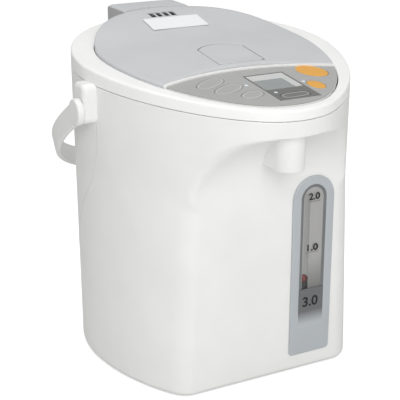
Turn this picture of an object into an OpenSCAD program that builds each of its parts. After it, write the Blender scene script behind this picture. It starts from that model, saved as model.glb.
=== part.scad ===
// Electric thermo pot with a motor pump, a hinged lid, a bail handle and a level gauge.
// Millimetres, +Z up. The spout faces -Y. The origin is on the vessel's axis, on the
// surface that the pot stands on.

/* [Body] */
// Half width of the body, and the radius of its round back
body_r = 108; // [104:0.5:112]
// How far the body tapers in towards the base, on the radius
body_draft = 1.5; // [0:0.1:3]
// Reach of the overhanging front, from the vessel's axis
beak_l = 142.5; // [138:0.5:146]
// How far the flat front face lies inside the body's round radius
face_in = 7.5; // [6:0.1:8.5]
// Height of the seam between casing and top ring, over the vessel's axis
seam_z = 233.4; // [231:0.2:236]
// Slope of that seam, falling to the front
seam_tilt = 4.65; // [3.5:0.05:5.2]
// Height of the top ring itself, over the vessel's axis
ring_h = 11.6; // [10:0.2:13]
// Slope of the top ring, falling to the front
top_tilt = 6.05; // [5.4:0.05:6.4]
// Thickness of the plastic casings
wall = 2.5; // [2:0.1:3]

/* [Spout recess] */
// Half width of the recess under the overhang
recess_w = 66; // [64:0.5:68]
// Distance of the start of the recess's curve below the seam, over the vessel's axis
cove_drop = 73.4; // [70:0.2:76]
// Reach of the curve, measured forward from the flat face
cove_l = 48; // [45:0.5:52]
// Rise of the curve up to the overhang's lower edge
cove_h = 50; // [46:0.5:52]
// Radius of the spout cover's round front
spout_r = 11.5; // [10.5:0.1:13]
// Distance of the nozzle behind the overhang's tip
spout_in = 18.5; // [15.5:0.5:20.5]
// Distance of the spout cover's lower edge over the start of the recess's curve
spout_rise = 21; // [17:0.5:25]

/* [Vessel] */
// Space between the vessel's inner wall and the rear casing's inside
vessel_gap = 21; // [20.5:0.5:24]
// Thickness of the vessel's steel
vessel_wall = 1; // [0.8:0.1:1.5]
// Height of the vessel's floor
vessel_floor = 58; // [56:0.5:60]
// Distance of the vessel's rim below the seam, over the vessel's axis
rim_drop = 27.4; // [25.4:0.2:30.4]
// Distance between the filling mouth and the lid's back edge
mouth_edge = 11.5; // [10.5:0.5:14]
// Distance of the mouth's centre behind the vessel's axis
mouth_y = 14; // [13:0.5:16]

/* [Lid and control panel] */
// Width of the top ring at the sides
ring_side = 18.5; // [17:0.5:20]
// Width of the top ring at the front
ring_tip = 8; // [6.5:0.5:10]
// Depth of the control panel, from its tip to the lid
panel_d = 81; // [79:0.5:83]
// Radius of the arc between lid and control panel
part_r = 174; // [165:1:185]
// Rise of the lid's dome
lid_crown = 3; // [1:0.5:5]
// Rise of the lid towards its hinge
lid_rise = 8.5; // [7:0.5:9.5]
// Thickness of the lid's shell
lid_wall = 2.4; // [2:0.1:3]
// Half width of the latch lever
lever_w = 19.5; // [17:0.5:21]
// Half width of the hinge cover
hinge_w = 31; // [30:0.5:36]
// Distance of the lid's hinge behind the body's back
hinge_out = 1; // [0:0.5:3]
// Height of the lid's hinge over the top ring's height at the vessel's axis
hinge_rise = 11; // [10:0.2:12]
// Travel of the buttons
button_travel = 0.8; // [0.4:0.1:1.2]

/* [Handle] */
// Distance of the handle's pivot in front of the vessel's axis
pivot_y = 15; // [12:0.5:18]
// Distance of the handle's pivot below the seam, over the vessel's axis
pivot_drop = 20.9; // [19.4:0.5:24.4]
// Clearance between the body's side and the handle
bail_gap = 8.3; // [7.8:0.1:10]
// Reach of the handle from its pivot
bail_l = 185; // [178:1:200]
// Angle of the handle below level, hanging at the back
bail_drop = 30.8; // [26:0.2:36]
// Width of the handle's strap
strap_w = 17.6; // [15:0.2:20]
// Thickness of the handle's strap
strap_t = 5; // [4.2:0.1:5.2]
// Radius of the handle's pivot pins
pivot_pin_r = 3; // [2.5:0.1:3.5]

/* [Gauge] */
// Distance of the gauge to the right of the spout
gauge_x = 38; // [36:0.5:40]
// Width of the gauge plate
gauge_w = 37; // [34:0.5:40]
// Height of the gauge plate's lower edge
gauge_low = 15; // [12:0.5:20]
// Distance of the gauge plate's upper edge over the start of the recess's curve
gauge_rise = 4; // [0:0.5:8]
// Width of the gauge window
window_w = 22.6; // [20:0.2:25]
// Distance between the lower edges of the gauge's plate and window
window_low_edge = 32; // [29:0.5:35]
// Distance between the upper edges of the gauge's plate and window
window_top_edge = 7; // [5:0.5:10]
// Outer radius of the water pipes
pipe_r = 4.8; // [4.2:0.1:5]
// Thickness of the pipes' walls
pipe_wall = 1; // [0.8:0.1:1.4]
// Radius of the float ball
ball_r = 3.2; // [2.6:0.1:3.3]

/* [Pump] */
// Outer radius of the pump's chamber
pump_r = 24; // [22:0.5:26]
// Distance of the pump in front of the vessel's axis
pump_y = 45; // [42:0.5:48]
// Height of the chamber's underside
pump_z = 28; // [27:0.5:29]
// Height of the chamber without its cover
chamber_h = 14; // [13:0.5:15]
// Number of impeller blades
blades = 6; // [4:1:8]
// Radius of the pump's shaft
shaft_r = 1.5; // [1.2:0.1:2]
// Radius of the motor's can
motor_r = 17; // [15:0.5:20]

/* [Hidden] */

slack = 0.25;          // gap between fixed pieces
fit = 0.05;            // running clearance on the radius
eps = 0.01;
facets = 96;           // points around the body's outline
base_power = 1.88;     // squareness of the body's front at the base
top_power = 1.65;      // and higher up
lid_power = 1.8;       // squareness of the front of lid and panel
tip_soft = 2.5;        // how much the overhang's tip is rounded off
foot_h = 2;            // height of the rubber feet under the base
foot_r = 9;
base_t = 3;            // thickness of the bottom cover
edge_r = 2;            // rounding of the top ring's outer edge
corner_soft = 12;      // rounding of the body's front corners
top_slope = tan(top_tilt);
seam_slope = tan(seam_tilt);
top_z = seam_z + ring_h;
face_y = body_r - face_in;
spout_y = beak_l - spout_in;
cove_z = seam_z - cove_drop;
lid_r = body_r - ring_side;
panel_l = beak_l - ring_tip;
part_y = panel_l - panel_d;    // the arc between lid and panel crosses the middle here
part_c = part_y + part_r;      // centre of that arc
lid_lift = 2.2;        // the lid's rim stands this far over the ring
lid_depth = 9;         // depth of the lid's skirt
vessel_r = body_r - wall - vessel_gap;
vessel_rim = seam_z - rim_drop;
mouth_r = lid_r - mouth_y - mouth_edge;
neck_top = vessel_rim + 16;    // top of the mouth's neck
neck_t = 3;
plug_depth = 6;        // how far the lid reaches into the neck
spout_z = cove_z + spout_rise;
spout_h = 25.5;        // height of the spout cover
nozzle_r = pipe_r + 1.3;
nozzle_h = 17;
nozzle_lift = 3;       // the nozzle's mouth over the spout cover's edge
gauge_high = cove_z + gauge_rise;
window_low = gauge_low + window_low_edge;
window_high = gauge_high - window_top_edge;
tube_y = face_y - wall - pipe_r - 2.2;   // the gauge tube stands just behind the face
tube_low = vessel_floor;
tube_high = gauge_high + 10;
stop_r = 2.2;          // bore of the float's stop
ball_seat = tube_low + 14.5;   // top of the float's stop
ball_z = ball_seat + sqrt(ball_r * ball_r - stop_r * stop_r) + 0.3;
pipe_top = vessel_rim + 6;     // height of the pipe's level run to the spout
outlet_z = pump_z + 8;
outlet_r = 3.5;
tray_z = vessel_floor - 9;     // underside of the tray under the vessel
tray_t = 2.5;
tray_r = face_y - wall - 1;
motor_low = foot_h + base_t + 0.2;
magnet_t = 2.2;
bail_w = body_r + bail_gap + strap_t;    // half width of the handle, to its outer face
pivot_z = seam_z - pivot_drop;
bracket_in = body_r - 3.5;     // inner face of the handle brackets
bracket_out = bail_w - strap_t - 0.3;
bracket_y = [-pivot_y - 7, -pivot_y + 13];
bracket_z = [pivot_z - 8.5, pivot_z + 21];
boss_r = 10.3;         // radius of the handle's round ends
knuckle_r = 5;
hinge_y = body_r + hinge_out;
hinge_z = top_z + hinge_rise;
hinge_floor = hinge_z - knuckle_r - 0.6;
hinge_pin_r = 2.2;
hinge_arm_w = 16;
cover_back = hinge_y + 10.5;
cover_top = hinge_z + 10;
lever_front = 6.5 - part_y;    // the lever's straight front edge
lever_back = lever_front + 43; // and the apex of its arched edge
lever_arc = 27;                // radius of that arch
lever_mid = lever_back - 21;
lever_axis_y = lever_back - 6;
lever_axis_z = -2.4;     // under the lever's own plane
lever_gap = 1.15;
// half the length of the lever's pin, which ends in the tray's walls
lever_pin_l = sqrt(pow(lever_arc, 2) - pow(lever_axis_y - lever_back + lever_arc, 2)) + 2.2;
bolt_w = 10;             // half width of the latch bolt
lever_lift = lid_lift + lid_crown * (1 - pow(lever_mid / lid_r, 2)) - 1.2;
bolt_z = [lever_lift - 10.57, lever_lift - 8.17];
bolt_gap = 0.3;
bolt_out = 5;            // how far the bolt slides into the panel's frame
lid_draft = 8;           // lean of the lid's front wall, so that it clears the panel
label_y = [lid_r - 51.8, lid_r - 29.8];
label_x = -3.8;
duct_y = lid_r - 33.5;
vent_y = lid_r - 26.2;
vent_l = 11;             // length of the vent slots
vent_w = 2.3;            // and half their width
cover_x = -4;            // the hinge's cover, the vents and the duct
vent_x = -6.5;           // stand a little to the left,
lever_x = 4.5;           // the latch lever a little to the right
inlet_z = tray_z - 18;
inlet_w = 21;
inlet_h = 13.7;
inlet_front = body_r - 26;
inlet_floor = inlet_front + 6;
leg_ring = body_r - 20;  // circle that the tray's legs and the rear feet stand on
sheet_z = 1;           // top of the panel sheet over the ring's plane
sheet_t = 0.5;

// Superellipse front on a round back; flat limits its reach, with a soft corner. The tip
// is rounded off the same way
function soft_min(a, b, k) = min(a, b) - pow(max(k - abs(a - b), 0), 2) / (4 * k);
function outline(r, front, power, flat = 999) = [for (i = [0:facets - 1])
    let (a = 360 * i / facets, s = sin(a), c = cos(a))
    c >= 0 ? [r * s, r * c]
    : [r * sign(s) * pow(abs(s), 2 / power),
        -soft_min((front + tip_soft) * pow(abs(c), 2 / power), min(flat, front + tip_soft + 1),
            corner_soft)]];
function smooth(x) = let (t = min(1, max(0, x))) t * t * (3 - 2 * t);
function mix(a, b, t) = a + (b - a) * t;
function seam_at(y) = seam_z + seam_slope * y;
function top_at(y) = top_z + top_slope * y;
// Height of the lid's surface over a point of the plan
function lid_at(x, y) = top_at(y) + lid_lift
    + lid_crown * max(0, 1 - (x * x + y * y) / (lid_r * lid_r))
    + (lid_rise) * smooth((y - 10) / 75);
// Sections of equal length, joined into one closed skin
module loft(rings) {
    n = len(rings[0]);
    m = len(rings);
    polyhedron(points = [for (r = rings) for (p = r) p],
        faces = concat([[for (i = [n - 1:-1:0]) i]],
            [for (k = [0:m - 2]) for (i = [0:n - 1])
                [k * n + i, k * n + (i + 1) % n, (k + 1) * n + (i + 1) % n, (k + 1) * n + i]],
            [[for (i = [0:n - 1]) (m - 1) * n + i]]));
}
// The casing's outline at a share u of the way up, shrunk by inset
function casing_ring(u, inset) = let (
        p = mix(base_power, top_power, min(1, u / 0.7)),
        r = body_r - body_draft * (1 - u) - inset,
        flat = face_y + 0.3 + 60 * smooth((u - 0.66) / 0.2) - inset,
        o = outline(r, beak_l - body_draft * (1 - u) - inset, p, flat))
    [for (q = o) [q[0], q[1], foot_h + u * (seam_at(q[1]) - foot_h)]];
levels = [0, 0.08, 0.16, 0.25, 0.35, 0.5, 0.66, 0.72, 0.78, 0.86, 1];
module casing_solid(inset, over) loft([for (k = [0:len(levels) - 1])
    casing_ring(levels[k] + over * (2 * k / (len(levels) - 1) - 1), inset)]);
// Space under the overhang: a flat face that curves forward at the top
module recess(grow) {
    steps = 9;
    side = 12;
    w = recess_w + grow;
    arch = [for (i = [0:2 * side]) let (t = 90 * (i / side - 1))
        [w * sign(t) * pow(abs(sin(t)), 2 / 3.4), pow(abs(cos(t)), 2 / 3.4)]];
    function slice(y, h) = concat([[-w, y, -20]],
        [for (a = arch) [a[0], y, cove_z + grow + h * a[1]]], [[w, y, -20]]);
    loft(concat([for (k = [0:steps]) let (f = 90 * k / steps)
            slice(-face_y + grow - cove_l * (1 - cos(f)), cove_h * sin(f) + eps)],
        [slice(-beak_l - 20, cove_h + eps)]));
}
// Plan of the spout cover, a round front with straight sides
module spout_plan(r, h) {
    translate([0, -spout_y, 0]) cylinder(r = r, h = h, $fn = 64);
    translate([-r, -spout_y, 0]) cube([2 * r, spout_y - face_y - 5, h]);
}
module spout_hole() translate([0, 0, spout_z - 1]) spout_plan(spout_r + slack, 34);
module slab(x, y, z) translate([x[0], y[0], z[0]]) cube([x[1] - x[0], y[1] - y[0], z[1] - z[0]]);
module both() {
    children();
    mirror([1, 0, 0]) children();
}
// Arched plate in the front's plane: straight sides, round top
module arched(w, low, high, r, t) {
    translate([gauge_x, 0, 0]) rotate([90, 0, 0]) linear_extrude(t) {
        translate([0, high - w / 2]) circle(w / 2, $fn = 64);
        translate([-w / 2, low + r]) square([w, high - low - w / 2 - r]);
        translate([-w / 2 + r, low]) square([w - 2 * r, r + eps]);
        for (s = [-1, 1]) translate([s * (w / 2 - r), low + r]) circle(r, $fn = 32);
    }
}
module bracket_block(grow) {
    r = 6;
    for (y = [bracket_y[0] + r, bracket_y[1] - r])
        for (z = [bracket_z[0] + r, bracket_z[1] - r])
            translate([bracket_in - grow, y, z]) rotate([0, 90, 0])
                cylinder(r = r + grow, h = bracket_out - bracket_in + grow, $fn = 48);
    slab([bracket_in - grow, bracket_out], [bracket_y[0] - grow, bracket_y[1] + grow],
        [bracket_z[0] + r, bracket_z[1] - r]);
    slab([bracket_in - grow, bracket_out], [bracket_y[0] + r, bracket_y[1] - r],
        [bracket_z[0] - grow, bracket_z[1] + grow]);
}
// Both casings in one piece, before they are parted
module casing() {
    difference() {
        casing_solid(0, 0);
        difference() {
            casing_solid(wall, 0.02);
            recess(wall);
        }
        recess(0);
        spout_hole();
        translate([0, -face_y + wall + 1, 0])
            arched(window_w + 3, window_low - 1.5, window_high + 1.5, 2, wall + 3);
        both() bracket_block(slack);
        slab([-inlet_w - slack, inlet_w + slack], [inlet_front - 2, body_r + 5],
            [inlet_z - inlet_h - slack, inlet_z + inlet_h + slack]);
    }
}
// The line where front and rear casing meet, as y and depth below the seam
joint = [[35, 138.9], [-12, 76.9], [-20, 49.4], [-22, -50]];
// Everything in front of that line
module front_side() {
    rotate([90, 0, 90]) translate([0, 0, -body_r - 20]) linear_extrude(2 * body_r + 40)
        polygon(concat([[-2 * beak_l, -10], [body_r - 12, -10]],
            [for (p = joint) [p[0], seam_z - p[1]]], [[-2 * beak_l, -joint[3][1] + seam_z]]));
}
module front_casing() color([0.93, 0.93, 0.92]) intersection() {
    casing();
    front_side();
}
module rear_casing() color([0.9, 0.9, 0.89]) difference() {
    casing();
    translate([0, 0.2, 0]) front_side();
}
// Section of the top ring: share of the way to the lid's edge, height share, drop
function ring_section() = [[0, 0, 0.3], [0, 1, -edge_r], [0.06, 1, -edge_r * 0.3],
    [0.22, 1, 0], [1, 1, 0], [1, 0, -1], [0.87, 0, -1], [0.87, 1, -wall],
    [0.14, 1, -wall], [0.14, 0, 0.3]];
module top_ring() color([0.95, 0.95, 0.94]) difference() {
    outer = outline(body_r, beak_l, top_power);
    inner = outline(lid_r + slack, panel_l + slack, lid_power);
    section = ring_section();
    m = len(section);
    polyhedron(points = [for (i = [0:facets - 1]) for (s = section)
            let (p = mix(outer[i], inner[i], s[0])) [p[0], p[1],
                mix(seam_at(p[1]), top_at(p[1]), s[1]) + s[2]]],
        faces = [for (i = [0:facets - 1]) for (k = [0:m - 1]) let (j = (i + 1) % facets)
            [i * m + k, i * m + (k + 1) % m, j * m + (k + 1) % m, j * m + k]]);
    slab([cover_x - hinge_w - 1, cover_x + hinge_w + 1], [lid_r - 9.5, body_r + 5],
        [hinge_floor, hinge_z + 20]);
    both() bracket_block(slack);
}
function base_ring(inset) = [for (q = casing_ring(0, inset))
    [q[0], abs(q[0]) < recess_w + inset ? max(q[1], inset - face_y) : q[1]]];
function on_ring(angles) = [for (a = angles) leg_ring * [cos(a), sin(a)]];
leg_at = on_ring([45, 135, 208, 347]);
foot_at = concat(on_ring([33, 147]), [for (s = [-1, 1]) [s * (recess_w - 5), 28.5 - face_y]],
    [[0, 0]]);
module bottom_cover() color([0.85, 0.85, 0.84]) difference() {
    union() {
        translate([0, 0, foot_h - 0.2 - 1.3]) linear_extrude(1.3) polygon(base_ring(0.4));
        translate([0, 0, foot_h - 0.3]) linear_extrude(base_t + 0.3) polygon(base_ring(wall + slack));
    }
    for (p = foot_at) translate([p[0], p[1], -1]) cylinder(r = foot_r + fit, h = foot_h + 0.8);
    for (p = leg_at) translate([p[0], p[1], -1]) {
        cylinder(r = screw_r + 0.3, h = 20, $fn = 32);
        cylinder(r = screw_head_r + 0.4, h = foot_h + 2.2, $fn = 32);
    }
}
module feet() color([0.25, 0.25, 0.25]) for (p = foot_at)
    translate([p[0], p[1], 0]) cylinder(r = foot_r, h = foot_h - 0.2 - eps, $fn = 48);
leg_r = 5;
screw_r = 1.5;
screw_head_r = 3.2;
module bottom_screws() color([0.7, 0.7, 0.7]) for (p = leg_at) translate([p[0], p[1], 0]) {
    translate([0, 0, foot_h - 0.7]) cylinder(r = screw_head_r, h = 1.8, $fn = 32);
    translate([0, 0, foot_h + 1]) cylinder(r = screw_r, h = 12, $fn = 32);
}
module handle_brackets() color([0.94, 0.94, 0.93]) both() difference() {
    bracket_block(0);
    translate([bracket_in - 1, -pivot_y, pivot_z]) rotate([0, 90, 0])
        cylinder(r = pivot_pin_r + 0.02, h = 30, $fn = 48);
}
module handle_pins() color([0.75, 0.75, 0.77]) both()
    translate([bracket_in + 1, -pivot_y, pivot_z]) rotate([0, 90, 0])
        cylinder(r = pivot_pin_r, h = bail_w - 1.6 - bracket_in - 1, $fn = 48);
// One edge of the handle's bow, from the right end round to the left one
function bow(w, l, start) = concat([[w, 0]],
    [for (i = [0:40]) let (a = 180 * i / 40) [w * cos(a), start + (l - start) * sin(a)]],
    [[-w, 0]]);
module handle() color([0.95, 0.95, 0.94]) translate([0, -pivot_y, pivot_z])
    rotate([-bail_drop, 0, 0]) difference() {
        union() {
            translate([0, 0, -strap_w / 2]) linear_extrude(strap_w) difference() {
                polygon(bow(bail_w, bail_l, 20));
                translate([0, -eps]) polygon(bow(bail_w - strap_t, bail_l - strap_t, 20));
            }
            both() translate([bail_w - strap_t, 0, 0]) rotate([0, 90, 0])
                cylinder(r = boss_r, h = strap_t, $fn = 64);
        }
        both() translate([bail_w - strap_t - 1, 0, 0]) rotate([0, 90, 0])
            cylinder(r = pivot_pin_r + fit, h = strap_t - 0.3, $fn = 48);
    }
module spout_cover() color([0.94, 0.94, 0.93]) difference() {
    translate([0, 0, spout_z]) spout_plan(spout_r, spout_h);
    translate([0, 0, spout_z - 1]) spout_plan(spout_r - 2, 40);
}
module nozzle() color([0.8, 0.8, 0.8]) translate([0, -spout_y, spout_z + nozzle_lift]) difference() {
    cylinder(r = nozzle_r, h = nozzle_h, $fn = 48);
    translate([0, 0, pipe_seat]) cylinder(r = pipe_r + fit, h = nozzle_h, $fn = 48);
    translate([0, 0, -1]) cylinder(r = pipe_r - pipe_wall, h = nozzle_h + 3, $fn = 48);
}
pipe_seat = 12;          // depth of the nozzle under the pipe's end
bend_r = 8;
run_l = sqrt(pow(gauge_x, 2) + pow(spout_y - tube_y, 2));
// The delivery pipe's path: up from the gauge tube, across, and down to the nozzle
module pipe_path(r, extra) translate([gauge_x, -tube_y, 0])
    rotate([0, 0, atan2(tube_y - spout_y, -gauge_x)]) {
        straight = pipe_top - bend_r;
        translate([0, 0, tube_high + slack - extra])
            cylinder(r = r, h = straight - tube_high - slack + extra, $fn = 48);
        translate([bend_r, 0, straight]) rotate([90, 0, 0]) rotate([0, 0, 90])
            rotate_extrude(angle = 90, $fn = 96) translate([bend_r, 0]) circle(r, $fn = 48);
        translate([bend_r, 0, pipe_top]) rotate([0, 90, 0])
            cylinder(r = r, h = run_l - 2 * bend_r, $fn = 48);
        translate([run_l - bend_r, 0, straight]) rotate([90, 0, 0])
            rotate_extrude(angle = 90, $fn = 96) translate([bend_r, 0]) circle(r, $fn = 48);
        end = spout_z + nozzle_lift + pipe_seat + slack;
        translate([run_l, 0, end - extra]) cylinder(r = r, h = straight - end + extra, $fn = 48);
    }
module delivery_pipe() color([0.85, 0.88, 0.9]) difference() {
    pipe_path(pipe_r, 0);
    pipe_path(pipe_r - pipe_wall, 1);
}
module tube(r, t, low, high) translate([gauge_x, -tube_y, low]) difference() {
    cylinder(r = r, h = high - low, $fn = 48);
    translate([0, 0, -1]) cylinder(r = r - t, h = high - low + 2, $fn = 48);
}
module upper_sleeve() color([0.6, 0.6, 0.62])
    tube(pipe_r + fit + 1.6, 1.6, tube_high - 5, tube_high + 7);
module gauge_tube() color([0.8, 0.9, 0.95, 0.4]) tube(pipe_r, pipe_wall, tube_low, tube_high);
module float_ball() color([0.75, 0.1, 0.1])
    translate([gauge_x, -tube_y, ball_z]) sphere(r = ball_r, $fn = 48);
module lower_sleeve() color([0.6, 0.6, 0.62])
    tube(pipe_r + fit + 1.6, 1.6, tube_low - 7, tube_low + 6);
module elbow_path(r, extra) {
    translate([gauge_x, -pump_y - pump_r - 0.1 + extra, outlet_z]) rotate([90, 0, 0])
        cylinder(r = r, h = tube_y - pump_y - pump_r - 0.1 + extra, $fn = 48);
    translate([gauge_x, -tube_y, outlet_z]) sphere(r = r, $fn = 48);
    translate([gauge_x, -tube_y, outlet_z])
        cylinder(r = r, h = tube_low - 0.2 - outlet_z, $fn = 48);
}
module outlet_elbow() color([0.3, 0.3, 0.32]) difference() {
    union() {
        elbow_path(pipe_r, 0);
        translate([gauge_x, -tube_y, tube_low - 2])
            cylinder(r = pipe_r - pipe_wall - fit, h = ball_seat - tube_low + 2, $fn = 48);
    }
    elbow_path(outlet_r - 0.3, 1);
    translate([gauge_x, -tube_y, outlet_z]) cylinder(r = stop_r, h = 60, $fn = 48);
}
module gauge_plate() color([0.72, 0.74, 0.75]) difference() {
    translate([0, -face_y - slack, 0]) arched(gauge_w, gauge_low, gauge_high, 3, 1.2);
    translate([0, -face_y + 1, 0]) arched(window_w, window_low, window_high, 2, 5);
}
module gauge_window() color([0.85, 0.9, 0.92, 0.35]) difference() {
    union() {
        translate([0, -face_y + 0.4, 0]) arched(window_w - 0.3, window_low + 0.15,
            window_high - 0.15, 2, 1.4);
        translate([0, -face_y + wall, 0])
            arched(window_w + 2.6, window_low - 1.3, window_high + 1.3, 2, wall - 0.3);
    }
    translate([0, -face_y + wall + 1, 0])
        arched(window_w - 3, window_low + 1.5, window_high - 1.5, 2, wall + 0.5);
}
module gauge_backing() color([0.78, 0.78, 0.77]) translate([gauge_x, -tube_y, 0]) difference() {
    low = tube_low + 8;
    side = window_w / 2 + 2.5;
    union() {
        translate([0, 0, low]) cylinder(r = pipe_r + 1.8, h = window_high + 4 - low, $fn = 48);
        slab([-side, side], [-0.6, 0.6], [low, window_high + 4]);
    }
    cylinder(r = pipe_r + 0.6, h = 200, $fn = 48);
    slab([-side - 1, side + 1], [-20, -0.6], [0, 200]);
}
port_r = 7.5;            // the port that feeds the pump from the vessel's floor
port_bore = 4.5;
module vessel() color([0.8, 0.8, 0.82]) difference() {
    union() {
        translate([0, 0, vessel_floor - vessel_wall])
            cylinder(r = vessel_r + vessel_wall, h = vessel_rim - vessel_floor + vessel_wall,
                $fn = 128);
        translate([0, 0, vessel_rim - vessel_wall])
            cylinder(r = vessel_r + 7.5, h = vessel_wall, $fn = 128);
    }
    translate([0, 0, vessel_floor]) cylinder(r = vessel_r, h = 200, $fn = 128);
    translate([gauge_x, -pump_y, 0]) cylinder(r = port_bore, h = 100, $fn = 48);
}
sleeve_low = vessel_floor + 20.5;
module sleeve_ring(r, t, low, high) translate([0, 0, low]) difference() {
    cylinder(r = r + t, h = high - low, $fn = 128);
    translate([0, 0, -1]) cylinder(r = r, h = high - low + 2, $fn = 128);
}
module vessel_sleeve() color([0.75, 0.72, 0.6]) sleeve_ring(vessel_r + vessel_wall + 0.4, 3,
    sleeve_low, vessel_rim - vessel_wall - 0.3);
module heater_band() color([0.6, 0.55, 0.45]) {
    r = vessel_r + vessel_wall + 0.3;
    sleeve_ring(r, 2.2, vessel_floor + 1, vessel_floor + 19);
    slab([-6, 6], [r + 2.1, r + 8], [vessel_floor + 6, vessel_floor + 14]);
}
rib_top = vessel_floor - vessel_wall - 0.2;
module vessel_tray() color([0.55, 0.55, 0.56]) difference() {
    union() {
        translate([0, 0, tray_z]) cylinder(r = tray_r, h = tray_t, $fn = 128);
        translate([0, 0, tray_z]) difference() {
            cylinder(r = vessel_r - 8.5, h = rib_top - tray_z, $fn = 128);
            translate([0, 0, tray_t]) cylinder(r = vessel_r - 12.5, h = 20, $fn = 128);
        }
        for (p = leg_at) translate([p[0], p[1], foot_h + base_t + 0.2])
            cylinder(r = leg_r, h = tray_z - foot_h - base_t, $fn = 48);
    }
    translate([gauge_x, -pump_y, tray_z - 1]) cylinder(r = port_r + 2.5, h = 20, $fn = 48);
    slab([gauge_x - 9, gauge_x + 9], [-tray_r - 1, -tube_y + 9], [tray_z - 1, tray_z + 20]);
    for (p = leg_at) translate([p[0], p[1], 0]) cylinder(r = screw_r + fit, h = 17, $fn = 32);
}
collar_low = vessel_rim + 0.2;
module mouth_collar() color([0.88, 0.88, 0.87]) difference() {
    union() {
        translate([0, 0, collar_low]) cylinder(r = vessel_r + 11, h = 2.5, $fn = 128);
        translate([0, mouth_y, collar_low]) cylinder(r = mouth_r + neck_t, h = neck_top - collar_low,
            $fn = 128);
    }
    translate([0, mouth_y, collar_low - 10]) cylinder(r = mouth_r, h = 60, $fn = 128);
    translate([gauge_x, -tube_y, collar_low - 10]) cylinder(r = pipe_r + 2.5, h = 40, $fn = 48);
}
cavity_r = pump_r - 3;
module pump_housing() color([0.3, 0.3, 0.32]) translate([gauge_x, -pump_y, pump_z]) difference() {
    cylinder(r = pump_r, h = chamber_h, $fn = 96);
    translate([0, 0, 2.5]) cylinder(r = cavity_r, h = chamber_h, $fn = 96);
    translate([0, 0, outlet_z - pump_z]) rotate([90, 0, 0])
        cylinder(r = outlet_r, h = pump_r + 1, $fn = 48);
}
module pump_cover() color([0.35, 0.35, 0.37]) {
    top = pump_z + chamber_h + 0.1;
    translate([gauge_x, -pump_y, top]) difference() {
        union() {
            cylinder(r = pump_r, h = 3, $fn = 96);
            cylinder(r = port_r, h = vessel_floor - vessel_wall - 0.2 - top, $fn = 48);
        }
        translate([0, 0, -1]) cylinder(r = port_bore, h = 40, $fn = 48);
    }
}
module pump_shaft() color([0.8, 0.8, 0.82]) translate([gauge_x, -pump_y, pump_z + 2.5])
    cylinder(r = shaft_r, h = chamber_h - 3.2, $fn = 32);
module impeller() color([0.9, 0.9, 0.85]) translate([gauge_x, -pump_y, pump_z + 3.4]) difference() {
    union() {
        cylinder(r = cavity_r - 3, h = 2, $fn = 96);
        cylinder(r = 4, h = 8, $fn = 48);
        for (k = [0:blades - 1]) rotate([0, 0, 360 * k / blades])
            translate([2, -0.8, 0]) cube([cavity_r - 6, 1.6, 7]);
    }
    translate([0, 0, -1]) cylinder(r = shaft_r + fit, h = 20, $fn = 32);
}
magnet_z = pump_z - 0.3 - magnet_t;
module drive_magnet() color([0.35, 0.33, 0.3]) translate([gauge_x, -pump_y, magnet_z]) {
    cylinder(r = motor_r - 2, h = magnet_t, $fn = 96);
    translate([0, 0, -4]) cylinder(r = shaft_r, h = 4.1, $fn = 32);
}
module pump_motor() color([0.7, 0.7, 0.72]) difference() {
    translate([gauge_x, -pump_y, motor_low])
        cylinder(r = motor_r, h = magnet_z - 0.3 - motor_low, $fn = 96);
    translate([gauge_x, -pump_y, magnet_z - 5])
        cylinder(r = shaft_r + fit, h = 10, $fn = 32);
}
board_x = [-58, 6];      // the power board on its four posts
board_y = [-30, 48];
board_z = foot_h + base_t + 4;
board_t = 1.6;
module power_board() color([0.2, 0.4, 0.25]) {
    slab(board_x, board_y, [board_z, board_z + board_t]);
    for (x = board_x + [8, -10]) for (y = board_y + [8, -8])
        translate([x, y, foot_h + base_t + 0.2]) cylinder(r = 3, h = 3.9, $fn = 32);
    top = board_z + board_t - eps;
    slab([board_x[0] + 8, board_x[0] + 30], [board_y[1] - 38, board_y[1] - 8], [top, top + 18.5]);
    slab([board_x[1] - 26, board_x[1] - 6], [board_y[0] + 6, board_y[0] + 24], [top, top + 12.5]);
}
module temperature_sensor() color([0.75, 0.75, 0.75]) {
    translate([0, 0, tray_z + tray_t + 0.1])
        cylinder(r = 8, h = rib_top - tray_z - tray_t - 0.1, $fn = 48);
}
inlet_back = sqrt(pow(body_r - body_draft, 2) - inlet_w * inlet_w) + 1;
module inlet_housing() color([0.82, 0.82, 0.81]) difference() {
    slab([-inlet_w, inlet_w], [inlet_front, inlet_back], [inlet_z - inlet_h, inlet_z + inlet_h]);
    slab([-inlet_w + 3, inlet_w - 3], [inlet_floor, inlet_back + 5],
        [inlet_z - inlet_h + 3.7, inlet_z + inlet_h - 3.7]);
}
module inlet_pins() color([0.85, 0.75, 0.45]) for (x = [-8, 8])
    translate([x, inlet_floor + fit, inlet_z]) rotate([-90, 0, 0]) cylinder(r = 2, h = 7, $fn = 32);
// The control panel's own axes lie in the top ring's plane
module on_top() translate([0, 0, top_z]) rotate([top_tilt, 0, 0]) children();
module panel_prism(low, high, inset) intersection() {
    translate([0, 0, low]) linear_extrude(high - low)
        polygon(outline(lid_r - slack - inset, panel_l - slack - inset, lid_power));
    translate([0, -part_c, low - 1]) cylinder(r = part_r - slack - inset, h = high - low + 2, $fn = 180);
}
// Places on the panel are x and the distance from the panel's tip
function from_tip(p) = [p[0], p[1] - panel_l];
display_at = from_tip([9, 37.5]);
display_size = [34, 54.5];
display_step = 22;       // the display starts this far behind the window's front edge
// The dispensing key keeps its distance from the arc between panel and lid
dispense_x = lid_r - 40.5;
dispense_d = panel_l - part_c + sqrt(part_r * part_r - dispense_x * dispense_x) - 15.56;
frame_wall = 1.2;
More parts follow.
